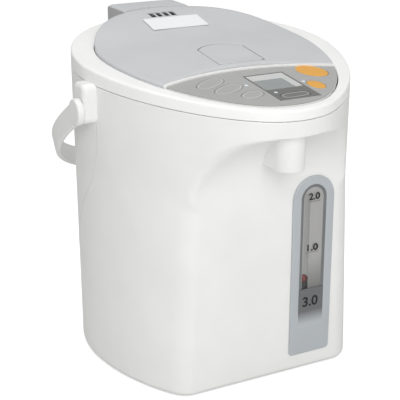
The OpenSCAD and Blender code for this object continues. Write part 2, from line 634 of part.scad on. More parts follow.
// Keys: x, distance from the tip, length, width, turn and squareness of the oval
keys = [[dispense_x, dispense_d, 27, 21, 111, 2], [35.2, 31, 17.5, 12, 94, 2], [-38.3, 58.5, 30, 14, 32, 2.3],
    [-31.3, 43.5, 28.5, 14, 27, 2.3], [-20.8, 27.6, 20.5, 13.2, 28, 2.3], [8.5, 17.2, 24, 10.5, 3, 3]];
lamps = [for (p = [[-15, 46.9], [30, 40.6], [-2.3, 26.4]]) from_tip(p)];
lamp_r = 1.5;
posts = [for (p = [[-66, 58.5], [66, 58.5], [-12.5, 68.5], [31, 71.5]]) from_tip(p)];
keeper_w = 14;           // half width of the block that the latch bolt enters
keeper_l = 9;
flange = 0.6;            // rim under the keys that holds them in
module key_shape(k, grow, low, high) {
    key = keys[k];
    at = from_tip(key);
    translate([at[0], at[1], low]) rotate([0, 0, key[4]]) linear_extrude(high - low)
        polygon([for (a = [0:7.5:359]) [(key[2] / 2 + grow) * sign(cos(a))
            * pow(abs(cos(a)), 2 / key[5]), (key[3] / 2 + grow) * sign(sin(a))
            * pow(abs(sin(a)), 2 / key[5])]]);
}
module keeper(grow) slab([-keeper_w - grow, keeper_w + grow],
    [-part_y - keeper_l - grow, -part_y], [-12, -1]);
module display_hole(grow, low, high) translate([display_at[0] - display_size[0] / 2 - grow,
        display_at[1] - display_size[1] / 2 - grow, low])
    cube([display_size[0] + 2 * grow, display_size[1] + 2 * grow, high - low]);
module panel_frame() color([0.93, 0.93, 0.92]) on_top() difference() {
    union() {
        panel_prism(-8, 0.3, 0);
        intersection() {
            panel_prism(0, 2.2, 0);
            translate([0, -part_c, -1]) difference() {
                cylinder(r = part_r, h = 6, $fn = 180);
                translate([0, 0, -1]) cylinder(r = part_r - 3, h = 9, $fn = 180);
            }
        }
    }
    difference() {
        panel_prism(-9, -1.7, frame_wall);
        for (p = posts) translate([p[0], p[1], -6.7]) cylinder(r = 2.5, h = 9, $fn = 32);
        keeper(0);
    }
    for (k = [0:4]) key_shape(k, slack, -9, 9);
    display_hole(slack, -9, 9);
    for (p = lamps) translate([p[0], p[1], -9]) cylinder(r = lamp_r + 0.1, h = 18, $fn = 32);
    slab([-bolt_w - bolt_gap, bolt_w + bolt_gap], [-part_y - bolt_out - 1, -part_y + 2],
        [-12, bolt_z[1] + 1.5]);
}
module panel_sheet() color([0.69, 0.69, 0.69]) on_top() difference() {
    panel_prism(sheet_z - sheet_t, sheet_z, 0.3);
    translate([0, -part_c, -1]) difference() {
        cylinder(r = part_r + 5, h = 6, $fn = 180);
        translate([0, 0, -1]) cylinder(r = part_r - 3.3, h = 9, $fn = 180);
    }
    for (k = [0:4]) key_shape(k, slack, -9, 9);
    display_hole(slack, -9, 9);
    for (p = lamps) translate([p[0], p[1], -9]) cylinder(r = lamp_r + 0.1, h = 18, $fn = 32);
}
module display_window() color([0.6, 0.62, 0.6, 0.5]) on_top() difference() {
    display_hole(0, -1.2, sheet_z + 0.1);
    key_shape(5, slack, -9, 9);
    translate([lamps[2][0], lamps[2][1], -9]) cylinder(r = lamp_r + 0.1, h = 18, $fn = 32);
}
module display_module() color([0.55, 0.58, 0.55]) on_top()
    slab([display_at[0] - 15, display_at[0] + 15],
        [display_at[1] - display_size[1] / 2 + display_step, display_at[1] + display_size[1] / 2 - 3],
        [-6.8, -1.4]);
flange_z = -2.9;
module control_board() color([0.2, 0.4, 0.25]) on_top() {
    difference() {
        panel_prism(-8.6, -7, 4);
        keeper(0.5);
    }
    for (k = keys) let (at = from_tip(k)) translate([at[0], at[1], -7 - eps])
        cylinder(r = 2.5, h = 7 + flange_z - button_travel - 0.1, $fn = 32);
}
module key(k) on_top() {
    key_shape(k, 0, flange_z, sheet_z + 0.2);
    key_shape(k, flange, flange_z, -1.9);
}
module dispense_button() color([0.91, 0.7, 0.37]) key(0);
module unlock_button() color([0.91, 0.7, 0.37]) key(1);
module left_button() color([0.72, 0.72, 0.72]) key(2);
module middle_button() color([0.72, 0.72, 0.72]) key(3);
module right_button() color([0.72, 0.72, 0.72]) key(4);
module boil_button() color([0.45, 0.45, 0.44]) key(5);
module indicator_lamps() color([0.9, 0.93, 0.95]) on_top() for (p = lamps)
    translate([p[0], p[1], -6.8]) cylinder(r = lamp_r, h = 6.8 + sheet_z, $fn = 32);
ear_x = [18, 23];
module hinge_mount() color([0.9, 0.9, 0.89]) {
    inner = mix(body_r, lid_r, 0.87) + 0.5;
    outer = mix(body_r, lid_r, 0.14) - 0.5;
    intersection() {
        difference() {
            translate([0, 0, hinge_floor - 6]) cylinder(r = outer, h = 5.8, $fn = 180);
            cylinder(r = inner, h = 300, $fn = 180);
        }
        slab([cover_x - hinge_w + 0.5, cover_x + hinge_w - 0.5], [0, hinge_y + 20],
            [0, hinge_z + 20]);
    }
    both() difference() {
        translate([ear_x[0], 0, 0]) rotate([90, 0, 90]) linear_extrude(ear_x[1] - ear_x[0]) {
            translate([hinge_y, hinge_z]) circle(knuckle_r, $fn = 48);
            polygon([[inner + 3, hinge_floor - 0.3], [outer - 3.5, hinge_floor - 0.3],
                [hinge_y, hinge_z - knuckle_r], [hinge_y, hinge_z], [hinge_y - 4, hinge_z + 3]]);
        }
        translate([ear_x[0] - 1, hinge_y, hinge_z]) rotate([0, 90, 0])
            cylinder(r = hinge_pin_r + 0.02, h = 10, $fn = 48);
    }
}
module hinge_pin() color([0.8, 0.8, 0.82]) translate([-ear_x[1], hinge_y, hinge_z])
    rotate([0, 90, 0]) cylinder(r = hinge_pin_r, h = 2 * ear_x[1], $fn = 48);
// Solid under the lid's surface, lowered by drop and shrunk by inset
module dome(inset, drop, depth) {
    rings = 8;
    edge = outline(lid_r - slack - inset, panel_l - slack - inset, lid_power);
    n = facets;
    polyhedron(points = concat([[0, 0, lid_at(0, 0) - drop]],
            [for (k = [1:rings]) for (e = edge) let (x = e[0] * k / rings, y = e[1] * k / rings)
                [x, y, lid_at(x, y) - drop]],
            [for (e = edge) [e[0], e[1], top_at(e[1]) - depth]],
            [[0, 0, top_at(0) - depth]]),
        faces = concat([for (i = [0:n - 1]) [0, 1 + i, 1 + (i + 1) % n]],
            [for (k = [0:rings - 1]) for (i = [0:n - 1]) let (a = 1 + k * n, j = (i + 1) % n)
                each [[a + i, a + n + i, a + n + j], [a + i, a + n + j, a + j]]],
            [for (i = [0:n - 1]) [1 + rings * n + i, 1 + (rings + 1) * n, 1 + rings * n + (i + 1) % n]]));
}
module part_cut(grow) on_top() translate([0, -part_y, lid_lift]) rotate([lid_draft, 0, 0])
    translate([0, -part_r, -60]) cylinder(r = part_r + grow, h = 120, $fn = 180);
// Plan of the latch lever: straight front, arched back
module lever_plan(grow, low, high) translate([0, 0, low]) intersection() {
    translate([0, lever_back - lever_arc, 0]) cylinder(r = lever_arc + grow, h = high - low, $fn = 96);
    translate([-lever_w - grow, lever_front - grow, 0])
        cube([2 * (lever_w + grow), 60 + grow, high - low]);
}
module lid_top() color([0.81, 0.81, 0.82]) difference() {
    dome(0, 0, lid_depth);
    difference() {
        dome(lid_wall, lid_wall, lid_depth + 5);
        part_cut(slack + lid_wall);
    }
    part_cut(slack);
    translate([lever_x, 0, 0]) lever_plan(lever_gap, top_z - 20, top_z + 15);
    on_top() slab([-bolt_w - bolt_gap, bolt_w + bolt_gap], [-part_y - 8, -part_y + 9],
        [bolt_z[0] - bolt_gap, bolt_z[1] + bolt_gap]);
    for (k = [-1.5:1:1.5]) slab([vent_x + k * 6.2 - vent_w, vent_x + k * 6.2 + vent_w],
        [vent_y, vent_y + vent_l],
        [top_z, hinge_z + 20]);
    slab([-hinge_arm_w - 0.3, hinge_arm_w + 0.3], [lid_r - 12.5, hinge_y + 20],
        [top_z - 20, hinge_z + 6.2]);
}
under_z = neck_top + 1.6;
post_x = lever_w + 7.5;  // the lid's posts stand beside the latch tray
module lid_under() color([0.8, 0.8, 0.82]) translate([0, mouth_y, 0]) difference() {
    union() {
        translate([0, 0, under_z]) cylinder(r = mouth_r + 2, h = 2.5, $fn = 128);
        translate([0, 0, neck_top - plug_depth]) cylinder(r = mouth_r - 2.4,
            h = under_z - neck_top + plug_depth + 0.1, $fn = 128);
        for (s = [-1, 1], t = [-1, 1]) let (x = s * post_x + (t < 0 ? lever_x : 0),
            y = t * sqrt(pow(mouth_r - 12, 2) - x * x))
            translate([x, y, under_z]) cylinder(r = 3, h = lid_at(x, y + mouth_y - 3)
                - lid_wall - 0.4 - under_z, $fn = 32);
    }
    translate([0, 0, neck_top - plug_depth + 2]) cylinder(r = mouth_r - 5, h = 7, $fn = 128);
    translate([vent_x, duct_y - mouth_y, neck_top - 20]) cylinder(r = duct_r - 2, h = 60, $fn = 48);
}
module lid_gasket() color([0.85, 0.85, 0.83]) translate([0, mouth_y, neck_top + 0.2]) difference() {
    cylinder(r = mouth_r + 2, h = under_z - neck_top - 0.3, $fn = 128);
    translate([0, 0, -1]) cylinder(r = mouth_r - 2.2, h = 9, $fn = 128);
}
duct_w = 13;             // half width of the duct's chamber
duct_r = 7;
duct_back = vent_y + vent_l;
module duct_side(low, grow) rotate([90, 0, 90]) translate([0, 0, -duct_w - grow])
    linear_extrude(2 * (duct_w + grow)) polygon([[duct_y - duct_r - grow, low],
        [duct_back + grow, low], [duct_back + grow, duct_top(duct_back) + grow],
        [duct_y - duct_r - grow, duct_top(duct_y - duct_r) + grow]]);
function duct_top(y) = lid_at(duct_w, y) - lid_wall - 0.5;
module steam_duct() color([0.8, 0.8, 0.8]) translate([vent_x, 0, 0]) difference() {
    union() {
        translate([0, duct_y, under_z + 2.6]) cylinder(r = duct_r, h = 20, $fn = 48);
        duct_side(under_z + 20, 0);
    }
    translate([0, duct_y, under_z]) cylinder(r = duct_r - 2, h = 23.4, $fn = 48);
    difference() {
        duct_side(under_z + 22, 20);
        difference() {
            duct_side(under_z - 20, 40);
            duct_side(under_z - 20, -2);
        }
    }
}
module hinge_cover() color([0.8, 0.8, 0.81]) translate([cover_x, 0, 0]) difference() {
    r = 5;
    low = hinge_z - 3.5;
    union() {
        slab([-hinge_w, hinge_w], [lid_r - 9.5, cover_back - r], [low, cover_top]);
        slab([-hinge_w, hinge_w], [lid_r - 9.5, cover_back], [low, cover_top - r]);
        translate([-hinge_w, cover_back - r, cover_top - r]) rotate([0, 90, 0])
            cylinder(r = r, h = 2 * hinge_w, $fn = 64);
    }
    slab([-hinge_w + 2, hinge_w - 2], [lid_r - 20, cover_back - 2.4], [low - 5, cover_top - 2.2]);
    translate([-cover_x, 0, low - 50]) cylinder(r = lid_r + 0.05, h = 100, $fn = 180);
}
module hinge_arm() color([0.78, 0.78, 0.79]) difference() {
    union() {
        translate([-hinge_arm_w, hinge_y, hinge_z]) rotate([0, 90, 0])
            cylinder(r = knuckle_r, h = 2 * hinge_arm_w, $fn = 48);
        slab([-hinge_arm_w, hinge_arm_w], [lid_r - 11.5, hinge_y], [hinge_z + 1.5, hinge_z + 5.9]);
    }
    translate([-60, hinge_y, hinge_z]) rotate([0, 90, 0])
        cylinder(r = hinge_pin_r + fit, h = 120, $fn = 48);
}
label_w = 50.3;
module lid_label() color([0.97, 0.97, 0.97]) {
    mid = (label_y[0] + label_y[1]) / 2;
    slope = atan((lid_at(0, label_y[1]) - lid_at(0, label_y[0])) / (label_y[1] - label_y[0]));
    translate([0, mid, lid_at(0, mid) + 0.2]) rotate([slope, 0, 0])
        translate([label_x - label_w / 2, (label_y[0] - label_y[1]) / 2, 0])
            cube([label_w, label_y[1] - label_y[0], 0.3]);
}
lever_top = lid_at(0, lever_mid) - 1.2;
lever_tilt = atan((lid_at(0, lever_mid + 17) - lid_at(0, lever_mid - 19)) / 36);
module on_lever() translate([lever_x, lever_mid, lever_top]) rotate([lever_tilt, 0, 0])
    translate([0, -lever_mid, 0]) children();
module latch_lever() color([0.8, 0.8, 0.81]) on_lever() difference() {
    union() {
        lever_plan(0, -1.2, 1);
        both() slab([12, 15], [lever_axis_y - 2.4, lever_axis_y + 2.4], [-4.6, -1]);
    }
    translate([-30, lever_axis_y, lever_axis_z]) rotate([0, 90, 0])
        cylinder(r = 1 + fit, h = 60, $fn = 32);
}
module lever_pin() color([0.8, 0.8, 0.82]) on_lever()
    translate([-lever_pin_l, lever_axis_y, lever_axis_z]) rotate([0, 90, 0])
        cylinder(r = 1, h = 2 * lever_pin_l, $fn = 32);
module latch_tray() color([0.6, 0.6, 0.62]) on_lever() difference() {
    lever_plan(3.4, -7.2, -1.8);
    lever_plan(lever_gap, -5.8, 5);
    translate([-30, lever_axis_y, lever_axis_z]) rotate([0, 90, 0])
        cylinder(r = 1.02, h = 60, $fn = 32);
}
module latch_bolt() color([0.7, 0.7, 0.71]) on_top() difference() {
    slab([-bolt_w, bolt_w], [-part_y + 0.8, -part_y + 24], bolt_z);
    slab([-bolt_w + 4, bolt_w - 4], [-part_y + 10, -part_y + 20], [-9, 0]);
}

front_casing();
rear_casing();
top_ring();
bottom_cover();
feet();
bottom_screws();
handle_brackets();
handle_pins();
handle();
spout_cover();
nozzle();
delivery_pipe();
upper_sleeve();
gauge_tube();
float_ball();
lower_sleeve();
outlet_elbow();
gauge_plate();
gauge_window();
gauge_backing();
vessel();
vessel_sleeve();
heater_band();
vessel_tray();
mouth_collar();
pump_housing();
pump_cover();
pump_shaft();
impeller();
drive_magnet();
pump_motor();
power_board();
temperature_sensor();
inlet_housing();
inlet_pins();
panel_frame();
panel_sheet();
display_window();
display_module();
control_board();
dispense_button();
unlock_button();
left_button();
middle_button();
right_button();
boil_button();
indicator_lamps();
hinge_mount();
hinge_pin();
lid_top();
lid_under();
lid_gasket();
steam_duct();
hinge_cover();
hinge_arm();
lid_label();
latch_lever();
lever_pin();
latch_tray();
latch_bolt();
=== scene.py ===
# %% [markdown]
# # An electric thermo pot, dressed for its portrait
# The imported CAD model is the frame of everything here: it says where each part is and what
# moves. The steps below lay smooth skins over the plain solids, give every part a finish of
# its own, and then set up a pale studio with the camera.

# %% Load the frame
import math

import bmesh
import bpy
import numpy as np
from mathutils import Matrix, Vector
from mathutils.geometry import delaunay_2d_cdt


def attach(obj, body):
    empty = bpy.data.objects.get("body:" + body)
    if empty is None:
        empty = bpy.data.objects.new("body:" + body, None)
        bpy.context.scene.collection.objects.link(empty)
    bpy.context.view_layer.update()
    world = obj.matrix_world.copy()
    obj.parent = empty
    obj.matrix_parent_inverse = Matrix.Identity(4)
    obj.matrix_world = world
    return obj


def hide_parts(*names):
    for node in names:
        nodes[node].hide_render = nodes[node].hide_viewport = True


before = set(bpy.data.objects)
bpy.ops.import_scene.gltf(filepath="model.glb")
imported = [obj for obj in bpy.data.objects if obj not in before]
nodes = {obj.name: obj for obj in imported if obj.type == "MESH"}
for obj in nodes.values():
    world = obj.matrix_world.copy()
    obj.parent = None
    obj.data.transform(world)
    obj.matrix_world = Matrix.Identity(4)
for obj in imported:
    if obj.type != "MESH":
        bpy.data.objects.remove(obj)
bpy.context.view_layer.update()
MM = 0.001

# %% [markdown]
# ## The body's own measures
# The pot is egg-shaped in plan: a half circle behind and a long half ellipse in front, which
# leans out over the cup. A superellipse with a power a little under two covers both, and a
# higher power makes the front corners squarer near the base. All the skins share this outline.

# %% Measures, in millimetres
body_r, body_draft, beak_l = 108.0, 1.5, 142.5
face_y = body_r - 7.5  # the flat front face stands this far before the middle
foot_h = 2.0
base_power, top_power, lid_power = 1.88, 1.65, 1.8
tip_soft, corner_soft = 2.5, 12.0
top_tilt = math.radians(6.05)
seam_z, seam_slope = 233.4, math.tan(math.radians(4.65))
top_z, top_slope = seam_z + 11.6, math.tan(top_tilt)
lid_r, panel_l = body_r - 18.5, beak_l - 8.0
part_r = 174.0  # radius of the arc where lid and panel meet
slack = 0.25


def smooth(x):
    t = np.clip(x, 0, 1)
    return t * t * (3 - 2 * t)


def soft_min(a, b, k):
    return np.minimum(a, b) - np.maximum(k - np.abs(a - b), 0) ** 2 / (4 * k)


def soft_max(a, b, k):
    return -soft_min(-a, -b, k)


def seam_at(y):
    return seam_z + seam_slope * y


def top_at(y):
    return top_z + top_slope * y


def outline(angle, r, front, power, flat=999.0):
    """Point of the plan's outline; angle 0 is the back, 180 degrees is the tip of the front."""
    s, c = np.sin(angle), np.cos(angle)
    x = np.where(c >= 0, r * s, r * np.sign(s) * np.abs(s) ** (2 / power))
    reach = soft_min((front + tip_soft) * np.abs(c) ** (2 / power),
                     np.minimum(flat, front + tip_soft + 1), corner_soft)
    return x, np.where(c >= 0, r * c, -reach)


def on_top(x, y, z):
    """From the panel's own axes, in the top ring's plane, to the pot's."""
    c, s = math.cos(top_tilt), math.sin(top_tilt)
    return np.stack([x, y * c - z * s, top_z + y * s + z * c], -1)


print("The body is", 2 * body_r, "mm wide and reaches", beak_l, "mm to the front")

# %% [markdown]
# ## From outlines and grids of points to pieces
# Three kinds of skin are enough here. A grid of points, joined by four-sided faces, suits
# the casings, the ring and the handle. A plate, an outline raised and rounded at its edge,
# suits keys and small covers. A sheet with holes, filled with triangles between its loops,
# suits the lid and the gauge plate, where slots and windows have to be cut cleanly.

# %% Pieces from points and faces
def grid_faces(rows, cols, closed=False):
    last = cols if closed else cols - 1
    return [(r * cols + c, r * cols + (c + 1) % cols,
             (r + 1) * cols + (c + 1) % cols, (r + 1) * cols + c)
            for r in range(rows - 1) for c in range(last)]


def shade(obj, sharp=35):
    """Smooth shading, with edges sharper than this angle left crisp, and faces outward."""
    mesh = obj.data
    mesh.shade_smooth()
    bm = bmesh.new()
    bm.from_mesh(mesh)
    bmesh.ops.recalc_face_normals(bm, faces=bm.faces[:])
    for e in bm.edges:
        e.smooth = len(e.link_faces) != 2 or e.calc_face_angle(0) < math.radians(sharp)
    bm.to_mesh(mesh)
    bm.free()


def new_object(name, data):
    obj = bpy.data.objects.new(name, data)
    bpy.context.scene.collection.objects.link(obj)
    return obj


def add_piece(name, shape, body, finish, stands_for=(), sharp=35):
    points, faces = shape
    mesh = bpy.data.meshes.new(name)
    mesh.from_pydata([tuple(p) for p in np.asarray(points, float) * MM], [], faces)
    mesh.validate()
    obj = new_object(name, mesh)
    shade(obj, sharp)
    mesh.materials.append(finish)
    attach(obj, body)
    if stands_for:
        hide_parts(*stands_for)
    return obj


def join_shapes(*shapes):
    points, faces, base = [], [], 0
    for p, f in shapes:
        points.append(np.asarray(p, float))
        faces += [[i + base for i in face] for face in f]
        base += len(p)
    return np.concatenate(points), faces


# %% Loops of points in a plane, counter-clockwise
def loop_normals(loop):
    ahead = np.roll(loop, -1, 0) - loop
    behind = loop - np.roll(loop, 1, 0)
    unit = lambda v: v / np.maximum(np.linalg.norm(v, axis=1, keepdims=True), 1e-9)
    t = unit(unit(ahead) + unit(behind))
    return np.stack([t[:, 1], -t[:, 0]], 1)


def inset(loop, distance):
    return loop - loop_normals(loop) * distance


def at_height(loop, z):
    return np.column_stack([loop, np.full(len(loop), z)])


def oval(x, y, length, width, turn=0.0, square=2.0, count=64):
    a = np.linspace(0, 2 * math.pi, count, endpoint=False)
    u = length / 2 * np.sign(np.cos(a)) * np.abs(np.cos(a)) ** (2 / square)
    v = width / 2 * np.sign(np.sin(a)) * np.abs(np.sin(a)) ** (2 / square)
    c, s = math.cos(math.radians(turn)), math.sin(math.radians(turn))
    return np.stack([x + u * c - v * s, y + u * s + v * c], 1)


def corner(cx, cy, r, start, steps=5):
    """Quarter circle round (cx, cy), counter-clockwise from an angle in degrees."""
    turns = [math.radians(start + 90 * k / steps) for k in range(steps + 1)]
    return [(cx + r * math.cos(t), cy + r * math.sin(t)) for t in turns]


def box_corners(x0, x1, y0, y1, r, steps):
    return (corner(x1 - r, y1 - r, r, 0, steps) + corner(x0 + r, y1 - r, r, 90, steps)
            + corner(x0 + r, y0 + r, r, 180, steps) + corner(x1 - r, y0 + r, r, 270, steps))


def box_loop(x0, x1, y0, y1, r, steps=6):
    """Rectangle with round corners of radius r."""
    return dense(np.array(box_corners(x0, x1, y0, y1, r, steps)))


def counter_clockwise(loop):
    area = np.sum(loop[:, 0] * np.roll(loop[:, 1], -1) - loop[:, 1] * np.roll(loop[:, 0], -1))
    return loop if area > 0 else loop[::-1]


def dense(loop, step=3.0):
    """Adds points to long straight stretches, so that the loop can follow a curved surface."""
    points = []
    for p, q in zip(loop, np.roll(loop, -1, 0)):
        n = max(1, int(np.linalg.norm(q - p) / step))
        points += [p + (q - p) * k / n for k in range(n)]
    return np.array(points)


def arch_loop(x, half, low, high, r):
    """Window with a half-round top and small round corners below."""
    points = [(x + half * math.cos(t), high - half + half * math.sin(t))
              for t in np.linspace(0, math.pi, 33)]
    points += corner(x - half + r, low + r, r, 180) + corner(x + half - r, low + r, r, 270)
    return dense(np.array(points))


# %% Plates and sheets
def fillet(radius, steps=4):
    """Pairs of inset and drop that round an edge, from the top face to the wall."""
    return [(radius * (1 - math.sin(t)), radius * (1 - math.cos(t)))
            for t in np.linspace(0, math.pi / 2, steps + 1)]


def plate(loop, low, high, edge=0.4, under=0.0, crown=0.0):
    """Raised outline with a round upper edge, a slightly crowned top and a round under edge."""
    rings = [(i, low + d) for i, d in fillet(under, 3)] if under else [(0, low)]
    rings += [(i, high - d) for i, d in fillet(edge)[::-1]]
    points = [at_height(inset(loop, i), z) for i, z in rings]
    middle = loop.mean(0)
    last = inset(loop, edge)
    for share in (0.8, 0.55, 0.3):
        xy = middle + (last - middle) * share
        points.append(at_height(xy, high + crown * (1 - share ** 2)))
    n, rows = len(loop), len(points)
    faces = grid_faces(rows, n, closed=True)
    faces.append([(rows - 1) * n + i for i in range(n)])
    if under:
        faces.append(list(range(n))[::-1])
    return np.concatenate(points), faces


def inside(points, loop):
    """Which points lie inside a loop."""
    x, y = points[:, :1], points[:, 1:]
    x0, y0 = loop[:, 0], loop[:, 1]
    x1, y1 = np.roll(x0, -1), np.roll(y0, -1)
    cross = (y0 > y) != (y1 > y)
    with np.errstate(divide="ignore", invalid="ignore"):
        at = x0 + (y - y0) * (x1 - x0) / (y1 - y0)
    return (cross & (x < at)).sum(1) % 2 == 1


def sheet(outer, holes, height, step, edge=0.5, depth=2.0, hole_edge=0.3, hole_depth=1.5):
    """Sheet under a surface height(x, y), with round edges round itself and its holes."""
    outer_top = inset(outer, edge)
    hole_tops = [inset(h, -hole_edge) for h in holes]
    lo, hi = outer.min(0), outer.max(0)
    gx, gy = np.meshgrid(np.arange(lo[0], hi[0], step), np.arange(lo[1], hi[1], step))
    grid = np.column_stack([gx.ravel(), gy.ravel()])
    keep = inside(grid, inset(outer, edge + 0.4 * step))
    for h in holes:
        keep &= ~inside(grid, inset(h, -hole_edge - 0.4 * step))
    loops = [outer_top] + hole_tops
    flat = np.concatenate(loops + [grid[keep]])
    edges, base = [], 0
    for loop in loops:
        edges += [(base + i, base + (i + 1) % len(loop)) for i in range(len(loop))]
        base += len(loop)
    made, _, tris, origin, _, _ = delaunay_2d_cdt([Vector(p) for p in flat], edges, [], 0, 1e-6)
    xy = np.array([tuple(v) for v in made])
    middles = np.array([xy[list(t)].mean(0) for t in tris])
    good = inside(middles, outer_top)
    for h in hole_tops:
        good &= ~inside(middles, h)
    points = np.column_stack([xy, height(xy[:, 0], xy[:, 1])])
    faces = [list(t) for t, g in zip(tris, good) if g]
    where = {o: i for i, group in enumerate(origin) for o in group}
    base = 0
    for number, (loop, full) in enumerate(zip(loops, [outer] + holes)):
        sign, radius = (1, edge) if number == 0 else (-1, hole_edge)
        down = depth if number == 0 else hole_depth
        previous = [where[base + i] for i in range(len(loop))]
        base += len(loop)
        rows = [(i, d) for i, d in fillet(radius)[1:]] + [(0, down)]
        for i, d in rows:
            ring = inset(full, sign * i)
            z = height(ring[:, 0], ring[:, 1]) - d
            start = len(points)
            points = np.concatenate([points, np.column_stack([ring, z])])
            now = list(range(start, start + len(ring)))
            n = len(now)
            faces += [[previous[k], now[k], now[(k + 1) % n], previous[(k + 1) % n]]
                      for k in range(n)]
            previous = now
    return points, faces


def upright(shape, front):
    """Turns a flat shape (x, y up, z out) to stand in the front face, facing -Y."""
    points, faces = shape
    return np.column_stack([points[:, 0], -front - points[:, 2], points[:, 1]]), faces


def on_panel(shape):
    """Lays a flat shape in the panel's plane."""
    points, faces = shape
    return on_top(points[:, 0], points[:, 1], points[:, 2]), faces


print("Helpers ready")

# %% [markdown]
# ## Finishes
# Moulded plastic is never quite even: it has a fine grain from the mould, and its colour
# drifts slowly from place to place. A slow noise varies the colour and a fine one the gloss and
# the bump. Only sizes and strengths differ from one plastic to the next.

# %% Node helpers
noise_low, noise_high = 0.3, 0.7  # most of a noise's values lie between these


def new_finish(name):
    mat = bpy.data.materials.new(name)
    mat.use_nodes = True
    return mat, mat.node_tree, mat.node_tree.nodes["Principled BSDF"]


def add_node(nt, kind, **inputs):
    """New node with its inputs set by name, where an underscore stands for a space."""
    made = nt.nodes.new("ShaderNode" + kind)
    for name, value in inputs.items():
        made.inputs[name.replace("_", " ")].default_value = value
    return made


def link(nt, source, target, to, out=0):
    nt.links.new(source.outputs[out], target.inputs[to])


def noise(nt, size_mm, detail=3.0):
    """Noise whose grains are about size_mm across, measured on the object itself."""
    tex = add_node(nt, "TexNoise", Scale=1.0 / (size_mm * MM), Detail=detail)
    link(nt, add_node(nt, "TexCoord"), tex, "Vector", "Object")
    return tex


def spread(nt, source, low, high):
    """Maps the noise's middle range to low...high."""
    m = add_node(nt, "MapRange", From_Min=noise_low, From_Max=noise_high, To_Min=low, To_Max=high)
    link(nt, source, m, "Value")
    return m


def tint(nt, source, dark, light):
    """Colours the noise's middle range from dark to light."""
    ramp = add_node(nt, "ValToRGB")
    first, last = ramp.color_ramp.elements
    first.position, last.position = noise_low, noise_high
    first.color, last.color = (*dark, 1), (*light, 1)
    link(nt, source, ramp, "Fac")
    return ramp


def bump(nt, shader, source, height_mm, strength=0.5):
    b = add_node(nt, "Bump", Strength=strength, Distance=height_mm * MM)
    link(nt, source, b, "Height")
    link(nt, b, shader, "Normal")


def moulded(nt, shader, rough, grain_mm, grain):
    """Slightly uneven gloss and a fine grain."""
    fine = noise(nt, grain_mm, 4)
    link(nt, spread(nt, fine, rough - 0.04, rough + 0.04), shader, "Roughness")
    bump(nt, shader, fine, grain)


def linear(r, g, b):
    """Colour as it looks on a screen, 0 to 255, to the numbers that a shader wants."""
    return tuple(c / 255 / 12.92 if c <= 10 else ((c / 255 + 0.055) / 1.055) ** 2.4
                 for c in (r, g, b))


def plastic(name, colour, rough=0.35, grain_mm=0.5, grain=0.01, metal=0.0, vary=0.02):
    mat, nt, shader = new_finish(name)
    base = np.array(linear(*colour))
    drift = tint(nt, noise(nt, 40, 2), base * (1 - vary), np.minimum(base * (1 + vary), 1))
    link(nt, drift, shader, "Base Color")
    shader.inputs["Metallic"].default_value = metal
    moulded(nt, shader, rough, grain_mm, grain)
    return mat


# %% Finishes of the plastics
white = plastic("white_casing", (238, 238, 236), rough=0.32, grain_mm=0.6, grain=0.006)
white_ring = plastic("white_shoulder", (245, 245, 244), rough=0.4, grain_mm=0.35, grain=0.0008)
silver = plastic("silver_lacquer", (200, 201, 203), rough=0.4, grain_mm=0.25, grain=0.006)
cover_end = plastic("cover_end_grey", (172, 172, 172), rough=0.45, grain_mm=0.3, grain=0.004)
panel_grey = plastic("panel_print", (170, 170, 169), rough=0.45, grain_mm=0.3, grain=0.004)
orange = plastic("orange_print", (228, 166, 66), rough=0.42, grain_mm=0.3, grain=0.004)
gauge_grey = plastic("gauge_surround", (183, 188, 192), rough=0.3, grain_mm=0.3, grain=0.004,
                     metal=0.1)
rim_grey = plastic("window_rim", (110, 112, 113), rough=0.4, grain_mm=0.3, grain=0.004)
back_white = plastic("gauge_reflector", (247, 247, 245), rough=0.5, grain_mm=0.4, grain=0.004)
# The reflector glows faintly: this glow is painted light, which makes up for what the clear layers
# before it take away and lifts the shade in the window.
painted_glow = back_white.node_tree.nodes["Principled BSDF"]
painted_glow.inputs["Emission Color"].default_value = (0.9, 0.9, 0.88, 1)
painted_glow.inputs["Emission Strength"].default_value = 0.25
label_white = plastic("label_paper", (238, 239, 240), rough=0.5, grain_mm=0.3, grain=0.01)
pale = plastic("pale_inner_plastic", (205, 205, 203), rough=0.45)
black = plastic("black_plastic_and_vent_shade", (52, 52, 54), rough=0.5)
key_dark = plastic("dark_key_print", (112, 112, 110), rough=0.42)
display_dark = plastic("display_mask_print", (108, 108, 105), rough=0.35, grain=0.002)
bevel_pale = plastic("display_bevel", (196, 197, 196), rough=0.4, grain=0.002)
crystal = plastic("liquid_crystal", (150, 154, 154), rough=0.2, grain=0.002, vary=0.05)
lamp_white = plastic("lamp_cap", (226, 236, 242), rough=0.25, grain=0.002)
line_pale = plastic("print_line", (206, 206, 204), rough=0.5, grain=0.002)
ink = plastic("mark_ink", (12, 12, 14), rough=0.5, grain=0.002)
red = plastic("red_float", (168, 30, 26), rough=0.25)
green = plastic("board_lacquer", (40, 92, 56), rough=0.35)


def faded(name, low_mm, high_mm, low_grey, high_grey, rough=0.35):
    """Colour that fades from one grey to another between two heights, used here to paint shade."""
    mat, nt, shader = new_finish(name)
    split = add_node(nt, "SeparateXYZ")
    fade = add_node(nt, "MapRange", From_Min=low_mm * MM, From_Max=high_mm * MM)
    ramp = add_node(nt, "ValToRGB")
    first, last = ramp.color_ramp.elements
    first.color, last.color = (*linear(*low_grey), 1), (*linear(*high_grey), 1)
    link(nt, add_node(nt, "TexCoord"), split, 0, "Object")
    link(nt, split, fade, "Value", "Z")
    link(nt, fade, ramp, "Fac")
    link(nt, ramp, shader, "Base Color")
    moulded(nt, shader, rough, 0.3, 0.004)
    return mat


# Both fades are painted shade: the low field turns dark above its foot, and the sheet under the
# gauge's clear cover is darker towards the bottom.
low_field_painted_shade = faded("gauge_low_painted_shade", 41, 52, (183, 188, 192), (106, 107, 108))
window_painted_shade = faded("gauge_back_painted_shade", 70, 98, (113, 113, 111), (166, 165, 163))
print("Plastics made")


